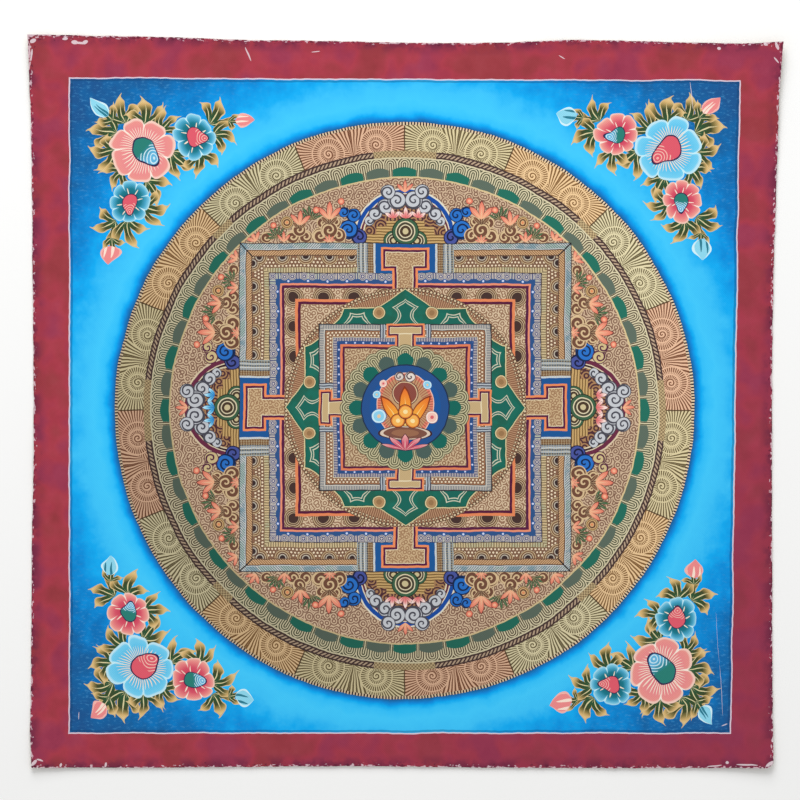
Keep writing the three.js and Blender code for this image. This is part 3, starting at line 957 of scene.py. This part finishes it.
# %% Wheels and jewels
OFFERINGS = (  # along the side from the gate, out from the middle, reach, kind
    (59.6, 133.0, 2.4, "jewel"), (78.6, 124.4, 4.4, "wheel"),
    (42.6, 139.0, 2.4, "jewel"), (87.8, 122.6, 2.2, "jewel"),
)
for offering_along, offering_out, reach, kind in OFFERINGS:
    paint = roundel(paint, side, (offering_along, offering_out), reach, RINGS[kind])
# Painted sheen, a third as strong, over the whole offerings panel
painted_sheen = node("MULTIPLY_ADD", ("COSINE", ("SUBTRACT", angle, SHEEN_SIDE)), SHEEN_CHANGE / 3, 1.0)
node("NodeGroupOutput", ("HueSaturation", 0.5, 1.0, painted_sheen, 1.0, paint))
print(len(OFFERINGS), "offerings on half a side;", len(offerings_panel.nodes), "nodes on the panel")

# %% [markdown]
# ### The outer palace
#
# The palace is a square plan: walls in bands of silver, tan, pearls, gold and blue, then a court with an
# orange and maroon kerb. One ramp with hard steps over the distance from the middle gives all the bands
# of a wall. The rows of pearls, curls and lotuses on it are one motif wrapped along the wall.

# %% Bands of the outer wall
COURT_EDGE, KERB_EDGE, TAN_EDGE = 69.4, 80.4, 101.8  # mm from the middle
OUTER_WALL = (  # inner edge of the band in mm from the middle, colour
    (0.0, "#B48C68"), (COURT_EDGE, "#571C3B"), (71.0, "#E6875A"), (73.2, "#B59070"), (KERB_EDGE, "#571F42"),
    (81.9, "#EB9170"), (83.4, "#305488"), (86.4, "#585C7C"), (90.2, "#3A2E30"), (90.8, "#8C7A5C"),
    (94.2, "#88634C"), (TAN_EDGE, "#2E2322"), (102.4, "#8C6846"), (105.6, "#43363A"), (106.2, "#D5DADB"),
    (106.8, "#6E7A80"), (110.1, "#2B282C"),
)


def bands(distance, end, edges):
    """Gives bands of flat colour over a distance in mm up to its end."""
    stops = [(edge / end, colour) for edge, colour in edges]
    return node("ValToRGB", ("DIVIDE", distance, end), stops=stops, interpolation="CONSTANT")


palace_panel = pigments = open_panel("outer_palace")
hand, compass, side, radius, angle, along, out, brush, rim, _ = node("NodeGroupInput").outputs
radius, angle = polar(compass)
outer_bands = bands(out, OUTER_HALF, OUTER_WALL)
court_scroll = scrollwork(hand, scroll=4.2, pitch=1.5, dark="#967259", light="#DAC2A2")
gate_scroll = scrollwork(hand, scroll=3.4, pitch=1.4, dark="#A27D5C", light="#CDB088")
scrolled = node("MAXIMUM", ("LESS_THAN", out, COURT_EDGE), ("COMPARE", out, 76.8, 3.6))
paint = node("Mix", scrolled, outer_bands, court_scroll)
print("outer wall of", len(OUTER_WALL) - 1, "bands")


# %% A row of round or half-round motifs along a wall
def row(under, row_out, pitch, shift, reach, rings):
    """Paints round motifs along every wall, pitch apart, at one distance out from the middle."""
    step = node("WRAP", ("SUBTRACT", along, shift), pitch / 2, -pitch / 2)
    return roundel(under, node("CombineXYZ", step, out), (0, row_out), reach, rings)


def half_moons(under, foot, pitch, shift, reach, rings):
    """Paints a row of arcs that stand on a line at foot, with flat bottoms."""
    step = node("WRAP", ("SUBTRACT", along, shift), pitch / 2, -pitch / 2)
    height = node("SUBTRACT", out, foot)
    flat_foot = node("SUBTRACT", ("MULTIPLY", ("ABSOLUTE", height), 2.0), height)
    return roundel(under, node("CombineXYZ", step, flat_foot), (0, 0), reach, rings)


PEARL_PITCH = 2.4  # mm
PEARL = [(0.0, "#EED9BA"), (0.7, "#5A3E30")]
SCALLOP = [(0.0, "#3A2C2C"), (0.34, "#BDB4A4"), (0.46, "#5E4236"), (0.6, "#C9B694"), (0.7, "#7A543C"),
           (0.84, "#C6AE86"), (0.94, "#6A4836")]
for row_out, shift in ((99.8, 0.0), (97.6, PEARL_PITCH / 2), (95.4, 0.0)):
    paint = row(paint, row_out, PEARL_PITCH, shift, 1.0, PEARL)
paint = row(paint, row_out=101.6, pitch=15.4, shift=4.7, reach=5.8, rings=SCALLOP)
print("three rows of pearls and a row of scallops")

# %% Stripes of the tan, silver, gold and blue bands
STRIPE_PITCH = 1.7  # mm
STRIPE_LEAN = 1.0  # mm along for each mm outwards

leaning = node("SINE", ("MULTIPLY", ("MULTIPLY_ADD", out, STRIPE_LEAN, along), math.tau / STRIPE_PITCH))
on_leaning = node("GREATER_THAN", leaning, 0.1)
on_upright = stripes(along, math.tau / STRIPE_PITCH, 0.0)
paint = node("Mix", ("GREATER_THAN", out, TAN_EDGE), paint, outer_bands)
paint = node("Mix", ("MULTIPLY", ("COMPARE", out, 104.0, 1.6), on_leaning), paint, "#DAB086")
for middle, half, striped, tints in (
    (108.5, 1.6, on_leaning, [(0.38, "#8CACB6"), (0.5, "#D8D8D4"), (0.6, "#AEC6B8")]),
    (92.5, 1.5, on_upright, [(0.35, "#D9BE90"), (0.55, "#D0C096"), (0.7, "#B6BA9A")]),
    (88.3, 1.9, on_upright, [(0.35, "#CCC0B4"), (0.5, "#BCB4B2"), (0.64, "#BCC2AC")]),
):
    tint = node("ValToRGB", brush, stops=tints)
    paint = node("Mix", ("MULTIPLY", ("COMPARE", out, middle, half), striped), paint, tint)
print("stripes", STRIPE_PITCH, "mm apart")

# %% Curls and pearls of the blue wall, lotuses of the court
CURL_PITCH, LOTUS_PITCH = 13.0, 20.3  # mm
WALL_CURL = [(0.0, "#D0C8C0"), (0.26, "#2E3A74"), (0.5, "#C6BEB8"), (0.7, "#3E4472"), (0.84, "#C0B8AE")]
WHITE_PEARL = [(0.0, "#D2DCEE"), (0.7, "#4F6CB4")]
COURT_LOTUS = [(0.0, "#47332F"), (0.52, "#C3AA88"), (0.58, "#5C4032"), (0.68, "#CDB694"), (0.75, "#6B4A38"),
               (0.85, "#CDB48C"), (0.92, "#6B4A38")]

for row_out, shift, reach, rings in (
    (88.0, 2.6, 2.5, WALL_CURL), (88.0, -2.6, 2.5, WALL_CURL), (85.0, 0.0, 1.0, WHITE_PEARL),
):
    paint = row(paint, row_out, CURL_PITCH, shift, reach, rings)
paint = half_moons(paint, foot=74.0, pitch=LOTUS_PITCH, shift=13.9, reach=7.4, rings=COURT_LOTUS)
for kerb, half in ((81.9, 1.5), (71.3, 1.9)):
    paint = node("Mix", ("COMPARE", out, kerb, half), paint, outer_bands)
print("curls", CURL_PITCH, "mm apart, lotuses", LOTUS_PITCH, "mm apart")

# %% Mitres where two walls meet
MITRE_HALF = 0.6  # mm

on_mitre = node("LESS_THAN", ("SUBTRACT", out, along), MITRE_HALF)
paint = node("Mix", ("MULTIPLY", on_mitre, ("GREATER_THAN", out, TAN_EDGE)), paint, "#2F2A2C")
print("mitres", 2 * MITRE_HALF, "mm wide")

# %% [markdown]
# ### Gates
#
# A gate is drawn as a T in plan, outlined in orange and maroon, and it breaks through the wall into the
# court. The depth inside the T, worked out from its bar and its stem, picks the outline's colour. The
# outer gates also have a plain blue frame and two striped pillars beside it.


# %% A gate in the shape of a T
def gate(under, bar_half, bar_low, bar_high, stem_half, stem_low, outline_width, filling):
    """Paints a T about the side's axis; lows and highs are mm from the middle of the mandala."""
    outline = [(0.0, "#EE8E5C"), (0.43, "#571D42"), (0.85, "#E8D9B6")]
    bar_side = node("SUBTRACT", bar_half, along)
    from_bar = node("ABSOLUTE", ("SUBTRACT", out, (bar_low + bar_high) / 2))
    bar = node("MINIMUM", bar_side, ("SUBTRACT", (bar_high - bar_low) / 2, from_bar))
    stem_side = node("SUBTRACT", stem_half, along)
    stem = node("MINIMUM", stem_side, ("SUBTRACT", (bar_low + bar_high) / 2, out))
    depth = node("MAXIMUM", bar, stem)
    share = node("DIVIDE", depth, outline_width)
    colour = node("ValToRGB", share, stops=outline, interpolation="CONSTANT")
    colour = node("Mix", ("GREATER_THAN", share, 1.0), colour, filling)
    inside = node("GREATER_THAN", depth, 0.0)
    return node("Mix", ("MULTIPLY", inside, ("GREATER_THAN", out, stem_low)), under, colour)


PILLAR = (  # mm from the gate's axis, colour
    (20.4, "#C9D3DA"), (21.1, "#7C5A3C"), (24.6, "#2E2A30"), (25.1, "#8894A0"), (26.6, "#D0D6D8"),
    (27.4, "#59646E"), (28.8, "#AEB8BE"), (30.2, "#3E4650"), (31.4, "#9AA6A8"),
)
GATE_HALF, FRAME_HALF, PILLAR_END = 15.8, 19.8, 32.2  # mm from the gate's axis
FRAME_MIDDLE, FRAME_DEPTH = 100.4, 19.6  # mm out: the part of the wall that frame and pillars stand on
SPECKLE_STRENGTH = 0.5

pillar_colour = bands(along, PILLAR_END, PILLAR)
speckle = node("SINE", ("MULTIPLY_ADD", out, math.tau / STRIPE_PITCH, leaning))
speckled = node("MULTIPLY", ("GREATER_THAN", speckle, 0.3), SPECKLE_STRENGTH)
pillar_colour = node("Mix", speckled, pillar_colour, "#C6B795")
beside_gate = node("LESS_THAN", along, PILLAR_END)
over_wall = node("COMPARE", out, FRAME_MIDDLE, FRAME_DEPTH / 2)
paint = node("Mix", ("MULTIPLY", beside_gate, over_wall), paint, pillar_colour)
paint = node("Mix", ("MULTIPLY", ("LESS_THAN", along, FRAME_HALF), over_wall), paint, "#1E5796")
paint = gate(
    paint, GATE_HALF, bar_low=92.4, bar_high=107.9, stem_half=8.2, stem_low=KERB_EDGE, outline_width=3.4,
    filling=gate_scroll,
)
print("gate", 2 * GATE_HALF, "mm wide with a pillar on either side")

# %% [markdown]
# ### The green star
#
# In the court lies a brown ring edged with pearls, and on it a green star whose points reach the gates.
# Its edge is straight from the point to a small medallion, flat beyond it, and a hollow curve near the
# corners of the inner palace. Fine cream lines follow it inside.

# %% Brown ring with its pearls
RING_RADIUS = 80.6
RING_PEARLS, RING_STROKES = 204, 330

ring_brown = node("Mix", stripes(angle, RING_STROKES, 0.3), "#8A6048", "#BC9472")
paint = node("Mix", ("LESS_THAN", radius, RING_RADIUS), paint, ring_brown)
ring_step = node("WRAP", angle, math.pi / RING_PEARLS, -math.pi / RING_PEARLS)
ring_place = node("CombineXYZ", ("MULTIPLY", ring_step, RING_RADIUS), radius)
RING_PEARL = [(0.0, "#DCC6A2"), (0.62, "#43291F")]
for set_in, reach in ((1.2, 1.2), (3.4, 0.9)):
    paint = roundel(paint, ring_place, (0, RING_RADIUS - set_in), reach, RING_PEARL)
print(RING_PEARLS, "pearls,", round(math.tau * RING_RADIUS / RING_PEARLS, 2), "mm apart")

# %% Star with its cream lines
STAR_POINT, STAR_FALL, STAR_FLAT = 80.2, 0.7, 67.4  # mm out on the axis, fall a mm along, mm out beyond
STAR_HOLLOW, STAR_HOLLOW_RADIUS = (58.5, 70.5, 0), 17.6
STAR_RIM, GREEN_FROM = 6.0, 1.4  # mm in from the edge: the scale of STAR_GREEN, and where its dulling starts
MEDALLION, MEDALLION_REACH = (17.4, 63.9), 4.5
STAR_GREEN = [(0.0, "#D9CB9A"), (0.12, "#10554A"), (0.22, "#1C695A"), (0.6, "#1E6D5D")]

star_edge = node("MAXIMUM", ("MULTIPLY_ADD", along, -STAR_FALL, STAR_POINT), STAR_FLAT)
below_edge = node("SUBTRACT", star_edge, out)
from_hollow = node("VectorMath DISTANCE", side, STAR_HOLLOW)
star_depth = node("MINIMUM", below_edge, ("SUBTRACT", from_hollow, STAR_HOLLOW_RADIUS))
star_share = node("DIVIDE", star_depth, STAR_RIM)
star_colour = node("ValToRGB", star_share, stops=STAR_GREEN, interpolation="CONSTANT")
dulled = node("MapRange", brush, 0.4, 0.62, 0.0, 0.7)
in_green = node("GREATER_THAN", star_depth, GREEN_FROM)
star_colour = node("Mix", ("MULTIPLY", dulled, in_green), star_colour, "#245C4A")
in_star = node("GREATER_THAN", star_depth, 0.0)
paint = node("Mix", in_star, paint, star_colour)
medallion_rings = [(0.0, "#9A7650"), (0.4, "#B28C62"), (0.78, "#DDCFA0"), (0.92, "#123D2F")]
paint = roundel(paint, side, MEDALLION, MEDALLION_REACH, medallion_rings)
print("star points", STAR_POINT, "mm from the middle")

# %% Double cream lines inside the star: a house with a hollow roof in each point, a lower one beside it
LINE_STEPS = [(0.0, "#CECCB4"), (0.13, "#1C665A"), (0.32, "#CECCB4"), (0.45, "#1C665A")]
LINES_DEPTH = 5.0  # mm in from the outline over which these colours run
HOUSE_TOP, HOUSE_WAIST = 73.4, 62.0  # mm out from the middle
ROOF_FALL, ROOF_POWER = 1.2, 0.72  # the roof falls by this times that power of the mm along
HOUSE_HALF, HOUSE_FLARE = 5.0, 0.11  # mm at the waist, and the growth with the square of the mm from it
BAY, BAY_TOP = 32.0, 62.9  # mm along the side, mm out
BAY_HALF, BAY_FLARE = 4.8, 0.06  # as for the house, from its top down
SAG, SAG_HALF = 0.05, 6.0  # its top rises by this times the square of the mm from its middle, up to that many

under_roof = node("SUBTRACT", ("MULTIPLY_ADD", ("POWER", along, ROOF_POWER), -ROOF_FALL, HOUSE_TOP), out)
from_waist = node("SUBTRACT", out, HOUSE_WAIST)
flare = node("MULTIPLY_ADD", ("MULTIPLY", from_waist, from_waist), HOUSE_FLARE, HOUSE_HALF)
house = node("MINIMUM", under_roof, ("SUBTRACT", flare, along))
from_bay = node("ABSOLUTE", ("SUBTRACT", along, BAY))
near_bay = node("MINIMUM", from_bay, SAG_HALF)
under_sag = node("SUBTRACT", ("MULTIPLY_ADD", ("MULTIPLY", near_bay, near_bay), SAG, BAY_TOP), out)
bay_flare = node("MULTIPLY_ADD", ("MULTIPLY", under_sag, under_sag), BAY_FLARE, BAY_HALF)
arch_depth = node("MAXIMUM", house, ("MINIMUM", under_sag, ("SUBTRACT", bay_flare, from_bay)))
arch_share = node("DIVIDE", arch_depth, LINES_DEPTH)
arch_colour = node("ValToRGB", arch_share, stops=LINE_STEPS, interpolation="CONSTANT")
paint = node("Mix", ("MULTIPLY", ("GREATER_THAN", arch_depth, 0.0), in_star), paint, arch_colour)
node("NodeGroupOutput", paint)
print(len(palace_panel.nodes), "nodes on the palace panel")

# %% [markdown]
# ### The inner palace
#
# The inner palace repeats the outer one at half its size, with simpler walls. In its court lies the second
# lotus, with gold scallops round green petals, and in its heart a blue disc.

# %% Bands, pearls and gates of the inner wall
INNER_EDGE = 39.8  # where the inner court ends
INNER_WALL = (  # inner edge of the band in mm from the middle, colour
    (0.0, "#B89570"), (INNER_EDGE, "#561E3E"), (41.2, "#E28058"), (42.8, "#2E4F84"), (45.0, "#666680"),
    (47.4, "#DBCFAE"), (48.0, "#9C6E50"), (52.4, "#2F2526"), (52.9, "#D2CEC4"), (53.5, "#888A8C"),
    (56.4, "#2B282C"),
)

inner_panel = pigments = open_panel("inner_palace")
hand, compass, side, radius, angle, along, out, brush, rim, _ = node("NodeGroupInput").outputs
compass = node("Mapping", compass, None, None, INNER_STRETCH)
radius, angle = polar(compass)
along, out = fold(compass)
paint = bands(out, INNER_HALF, INNER_WALL)
on_upright = stripes(along, math.tau / STRIPE_PITCH, 0.0)
for band_middle, band_half, light in ((46.2, 1.1, "#B2AAAA"), (54.9, 1.4, "#B6B0A6")):
    in_band = node("COMPARE", out, band_middle, band_half)
    paint = node("Mix", ("MULTIPLY", in_band, on_upright), paint, light)
for row_out, pitch, shift, reach, rings in (
    (51.0, PEARL_PITCH, 0.0, 0.95, PEARL), (49.2, PEARL_PITCH, PEARL_PITCH / 2, 0.95, PEARL),
    (43.9, 5.6, 0.0, 0.8, WHITE_PEARL),
):
    paint = row(paint, row_out, pitch, shift, reach, rings)
inner_scroll = scrollwork(hand, scroll=4.0, pitch=1.5, dark="#937054", light="#CFB692")
paint = node("Mix", ("LESS_THAN", out, INNER_EDGE), paint, inner_scroll)
pillar = node("MULTIPLY", ("COMPARE", along, 15.2, 1.8), ("COMPARE", out, 52.2, 4.6))
paint = node("Mix", pillar, paint, ("Mix", on_upright, "#4A4E5C", "#B6BEC4"))
paint = gate(
    paint, bar_half=12.4, bar_low=48.0, bar_high=INNER_HALF, stem_half=6.6, stem_low=INNER_EDGE,
    outline_width=2.7, filling="#C6AB7E",
)
print("inner wall of", len(INNER_WALL) - 1, "bands")

# %% Second lotus
LOTUS_SCALLOPS, LOTUS_RADIUS, LOTUS_ARCH_REACH = 32, 37.6, 5.4
LOTUS_PETALS, LOTUS_PETAL_INNER = 16, 29.4

lotus_away, arcs = arches(LOTUS_RADIUS, LOTUS_SCALLOPS)
paint = node("Mix", ("LESS_THAN", lotus_away, LOTUS_ARCH_REACH), paint, ("Mix", arcs, "#5C5A42", "#C8C09A"))
paint = petals(
    paint, LOTUS_PETALS, inner=33.0, half=5.3, droop=0.13, outer=37.2, dull="#4C605A", bright="#18665A"
)
heart_disc = [(0.0, "#1E569A"), (0.8, "#28528E"), (0.97, "#23304A")]
paint = roundel(paint, compass, (0, 0), LOTUS_PETAL_INNER, heart_disc)
print(LOTUS_SCALLOPS, "scallops,", LOTUS_PETALS, "petals")

# %% [markdown]
# ### The jewel in the lotus
#
# The heart of the disc holds three jewels in flames on a lotus seat, with a rayed glory behind it and
# flowers and clouds beside it: a plain sign of good fortune. Stretched coordinates turn a round motif into
# an oval one.

# %% Rayed glory and flowers
GLORY = [(0.0, "#C39A70"), (0.86, "#E8836E"), (0.975, "#F3D0B8")]
HALO = [(0.0, "#8C4C42"), (0.86, "#E0C49A"), (0.93, "#5C2E34")]
FLOWER_BLUE = [(0.0, "#E9C8A0"), (0.25, "#8ED0EC"), (0.7, "#CDEBF6"), (0.92, "#2C5C9C")]
FLOWER_PINK = [(0.0, "#D8646C"), (0.3, "#F3C4B6"), (0.75, "#F8E6DA"), (0.93, "#8A4A48")]
GLORY_WIDTH, GLORY_HEIGHT, GLORY_LIFT = 38, 45, 0.06  # mm, mm, share of half its height
GLORY_RAYS, RAYS_MIDDLE, RAYS_HALF = 64, 0.78, 0.18  # number, then shares of the way to the glory's edge

oval = node("VectorMath MULTIPLY", compass, (2 / GLORY_WIDTH, 2 / GLORY_HEIGHT, 0))
paint = roundel(paint, oval, (0, GLORY_LIFT), 1.0, GLORY)
from_glory = node("VectorMath DISTANCE", oval, (0, GLORY_LIFT, 0))
ray_band = node("COMPARE", from_glory, RAYS_MIDDLE, RAYS_HALF)
paint = node("Mix", ("MULTIPLY", stripes(angle, GLORY_RAYS, 0.35), ray_band), paint, "#A8604E")
paint = roundel(paint, compass, (0, 9.6), 8.8, HALO)
for flower_x, flower_y, reach, rings in (
    (-17.4, -6.0, 5.0, FLOWER_BLUE), (17.8, -6.6, 4.2, FLOWER_PINK), (-19.0, 9.0, 2.8, FLOWER_BLUE),
    (14.6, 15.4, 3.0, FLOWER_BLUE), (-14.4, 16.4, 2.6, FLOWER_PINK),
):
    paint = roundel(paint, compass, (flower_x, flower_y), reach, rings)
paint = curl(paint, compass, (-3.6, 21.4), 3.2, 1.3, "#DCCFC6", "#5A4A50")
paint = curl(paint, compass, (3.4, 21.0), 3.6, 1.3, "#E6DAD0", "#5A4A50")
print("glory", GLORY_WIDTH, "by", GLORY_HEIGHT, "mm")

# %% Three jewels in flames on a lotus seat
SEAT_PINKS = [(0.0, "#B8485E"), (0.5, "#D66478"), (0.85, "#EBA6A4"), (1.0, "#F6DCD0")]
FLAME_GOLDS = [(0.0, "#F7C25E"), (0.4, "#F5A83E"), (0.75, "#F08A34"), (1.0, "#E2662E")]
CUSHION = [(0.0, "#9A6A50"), (0.5, "#7E5244"), (0.8, "#DCC8B4"), (0.92, "#3E2228")]
JEWEL = [(0.0, "#FBE3A6"), (0.3, "#F6B458"), (0.75, "#DE7F38"), (0.88, "#6A3022")]
CUSHION_HALF, CUSHION_RISE, CUSHION_Y = 18.0, 4.8, -17.6  # mm
SEAT_SQUASH = 1.9  # the seat is seen aslant, so its petals are drawn this much lower

paint = fan(
    paint, compass, base=(0, -16.0), heading=90, length=31.0, blades=3, spread=0.6, bend=0.0, frill=0.0,
    colours=FLAME_GOLDS, lines=("#FBD98A", "#8A3A22"),
)
wide_oval = node("VectorMath MULTIPLY", compass, (1 / CUSHION_HALF, 1 / CUSHION_RISE, 0))
paint = roundel(paint, wide_oval, (0, CUSHION_Y / CUSHION_RISE), 1.0, CUSHION)
for jewel_x, jewel_y in ((-4.8, -9.4), (4.8, -9.4), (0.0, -3.2)):
    paint = roundel(paint, compass, (jewel_x, jewel_y), 5.0, JEWEL)
flat_place = node("VectorMath MULTIPLY", compass, (1, SEAT_SQUASH, 1))
seat_lines = ("#F3C9BE", "#5C2436")
paint = fan(
    paint, flat_place, base=(0, -29.0 * SEAT_SQUASH), heading=90, length=21.0, blades=5, spread=0.56,
    bend=0.0, frill=0.0, colours=SEAT_PINKS, lines=seat_lines,
)
node("NodeGroupOutput", paint)
print(len(inner_panel.nodes), "nodes on the inner panel")

# %% [markdown]
# ## The finished surface
#
# Glue paint dries matt, and the cotton's weave shows through the thin chalk ground as a faint grid. The
# five panels are joined by Mix Shader nodes with hard masks, so that the renderer only works out the panel
# that it needs. All five shaders have the same settings.

# %% Weave under the paint
THREAD_PITCH = 1.5  # mm; the real cotton has about 0.6 mm, drawn coarser so that it shows in the picture
PAINT_ROUGHNESS = 0.85  # matt glue paint
PAINT_GLOSS = 0.12
WEAVE_STRENGTH, WEAVE_HEIGHT = 0.16, 0.3 * MM
BRUSH_RELIEF = 2.0  # how much the brush marks count in the relief beside the threads


def weave(place):
    """Gives the height of a plain weave, where each thread crosses over and under the others."""
    across, upward, _ = node("SeparateXYZ", place).outputs
    warp = node("SINE", ("MULTIPLY", across, math.tau / THREAD_PITCH))
    return node("MULTIPLY", warp, ("SINE", ("MULTIPLY", upward, math.tau / THREAD_PITCH)))


pigments = painted.node_tree
hand, compass, side, radius, angle, along, out, brush, rim = guides
relief = node("MULTIPLY_ADD", brush, BRUSH_RELIEF, weave(flat))
weave_bump = node("Bump", WEAVE_STRENGTH, WEAVE_HEIGHT, None, relief)
print("threads", THREAD_PITCH, "mm apart")


# %% Five panels joined
def panel_shader(panel):
    """Gives one panel's paint the matt surface that the whole sheet shares."""
    surface = node("BsdfPrincipled", node("Group", *guides, node_tree=panel))
    surface.inputs["Roughness"].default_value = PAINT_ROUGHNESS
    surface.inputs["Specular IOR Level"].default_value = PAINT_GLOSS
    pigments.links.new(weave_bump.outputs["Normal"], surface.inputs["Normal"])
    return surface


in_disc = node("LESS_THAN", radius, DISC_RADIUS)
in_ground = node("LESS_THAN", radius, GROUND_RADIUS)
in_outer = node("LESS_THAN", out, OUTER_HALF)
_, inner_out = fold(("Mapping", compass, None, None, INNER_STRETCH))
in_inner = node("LESS_THAN", inner_out, INNER_HALF)
palaces = node("MixShader", in_inner, panel_shader(palace_panel), panel_shader(inner_panel))
ground = node("MixShader", in_ground, panel_shader(rings_panel), panel_shader(offerings_panel))
disc = node("MixShader", in_outer, ground, palaces)
whole = node("MixShader", in_disc, panel_shader(sky_panel), disc)
pigments.links.new(whole.outputs[0], pigments.nodes["Material Output"].inputs["Surface"])
print("five panels on", painted.name)

# %% [markdown]
# ## Cut edge and back
#
# The knife cut shows the white chalk ground between the threads. The back is bare cotton that the glue has
# yellowed, with darker stains where the paint soaked through.

# %% Chalk-white cut edge
FRAY_SIZE = 1.2  # mm

cut_edge, edge_surface = matt_material("cut_chalked_cotton_edge", roughness=0.95, gloss=0.1)
pigments = cut_edge.node_tree
flat = node("VectorMath MULTIPLY", node("TexCoord").outputs["Object"], (1 / MM, 1 / MM, 1 / MM))
fray = node("TexNoise", flat, 1 / FRAY_SIZE, 2.0, noise_dimensions="3D")
edge_white = node("ValToRGB", fray, stops=[(0.35, "#9C6A6C"), (0.5, "#DCCFC6"), (0.7, "#EFE6DC")])
pigments.links.new(edge_white.outputs["Color"], edge_surface.inputs["Base Color"])
print("cut edge:", cut_edge.name)

# %% Bare sized cotton on the back
STAIN_SIZE, SLUB_WIDTH, SLUB_LENGTH = 60.0, 1.5, 14.0  # mm
BACK_STRENGTH, BACK_HEIGHT = 0.5, 0.4 * MM  # the bare weave stands out more than under the paint

back_cloth, back_surface = matt_material("bare_sized_cotton", roughness=0.92, gloss=0.15)
pigments = back_cloth.node_tree
flat = node("VectorMath MULTIPLY", node("TexCoord").outputs["Object"], (1 / MM, 1 / MM, 0))
stain = node("TexNoise", flat, 1 / STAIN_SIZE, 5.0, 0.6)
slub = node("TexNoise", ("VectorMath MULTIPLY", flat, (1 / SLUB_WIDTH, 1 / SLUB_LENGTH, 0)), 1.0, 1.0)
cotton = node("ValToRGB", stain, stops=[(0.3, "#B79F78"), (0.5, "#CDB995"), (0.72, "#D9C9A9")])
cotton = node("Mix", ("MapRange", slub, 0.3, 0.7, 0.0, 0.35), cotton, "#A8916C")
back_bump = node("Bump", BACK_STRENGTH, BACK_HEIGHT, None, weave(flat))
cotton_colour = next(output for output in cotton.outputs if output.enabled)
pigments.links.new(cotton_colour, back_surface.inputs["Base Color"])
pigments.links.new(back_bump.outputs["Normal"], back_surface.inputs["Normal"])
print("back:", back_cloth.name)

# %% [markdown]
# ## Handing the sheet over
#
# The finished sheet stands for the CAD solid, which is hidden, and rides on its only body.

# %% Slots and body
for material in (painted, cut_edge, back_cloth):
    canvas_mesh.materials.append(material)
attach(canvas, "root")
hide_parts(NODE)
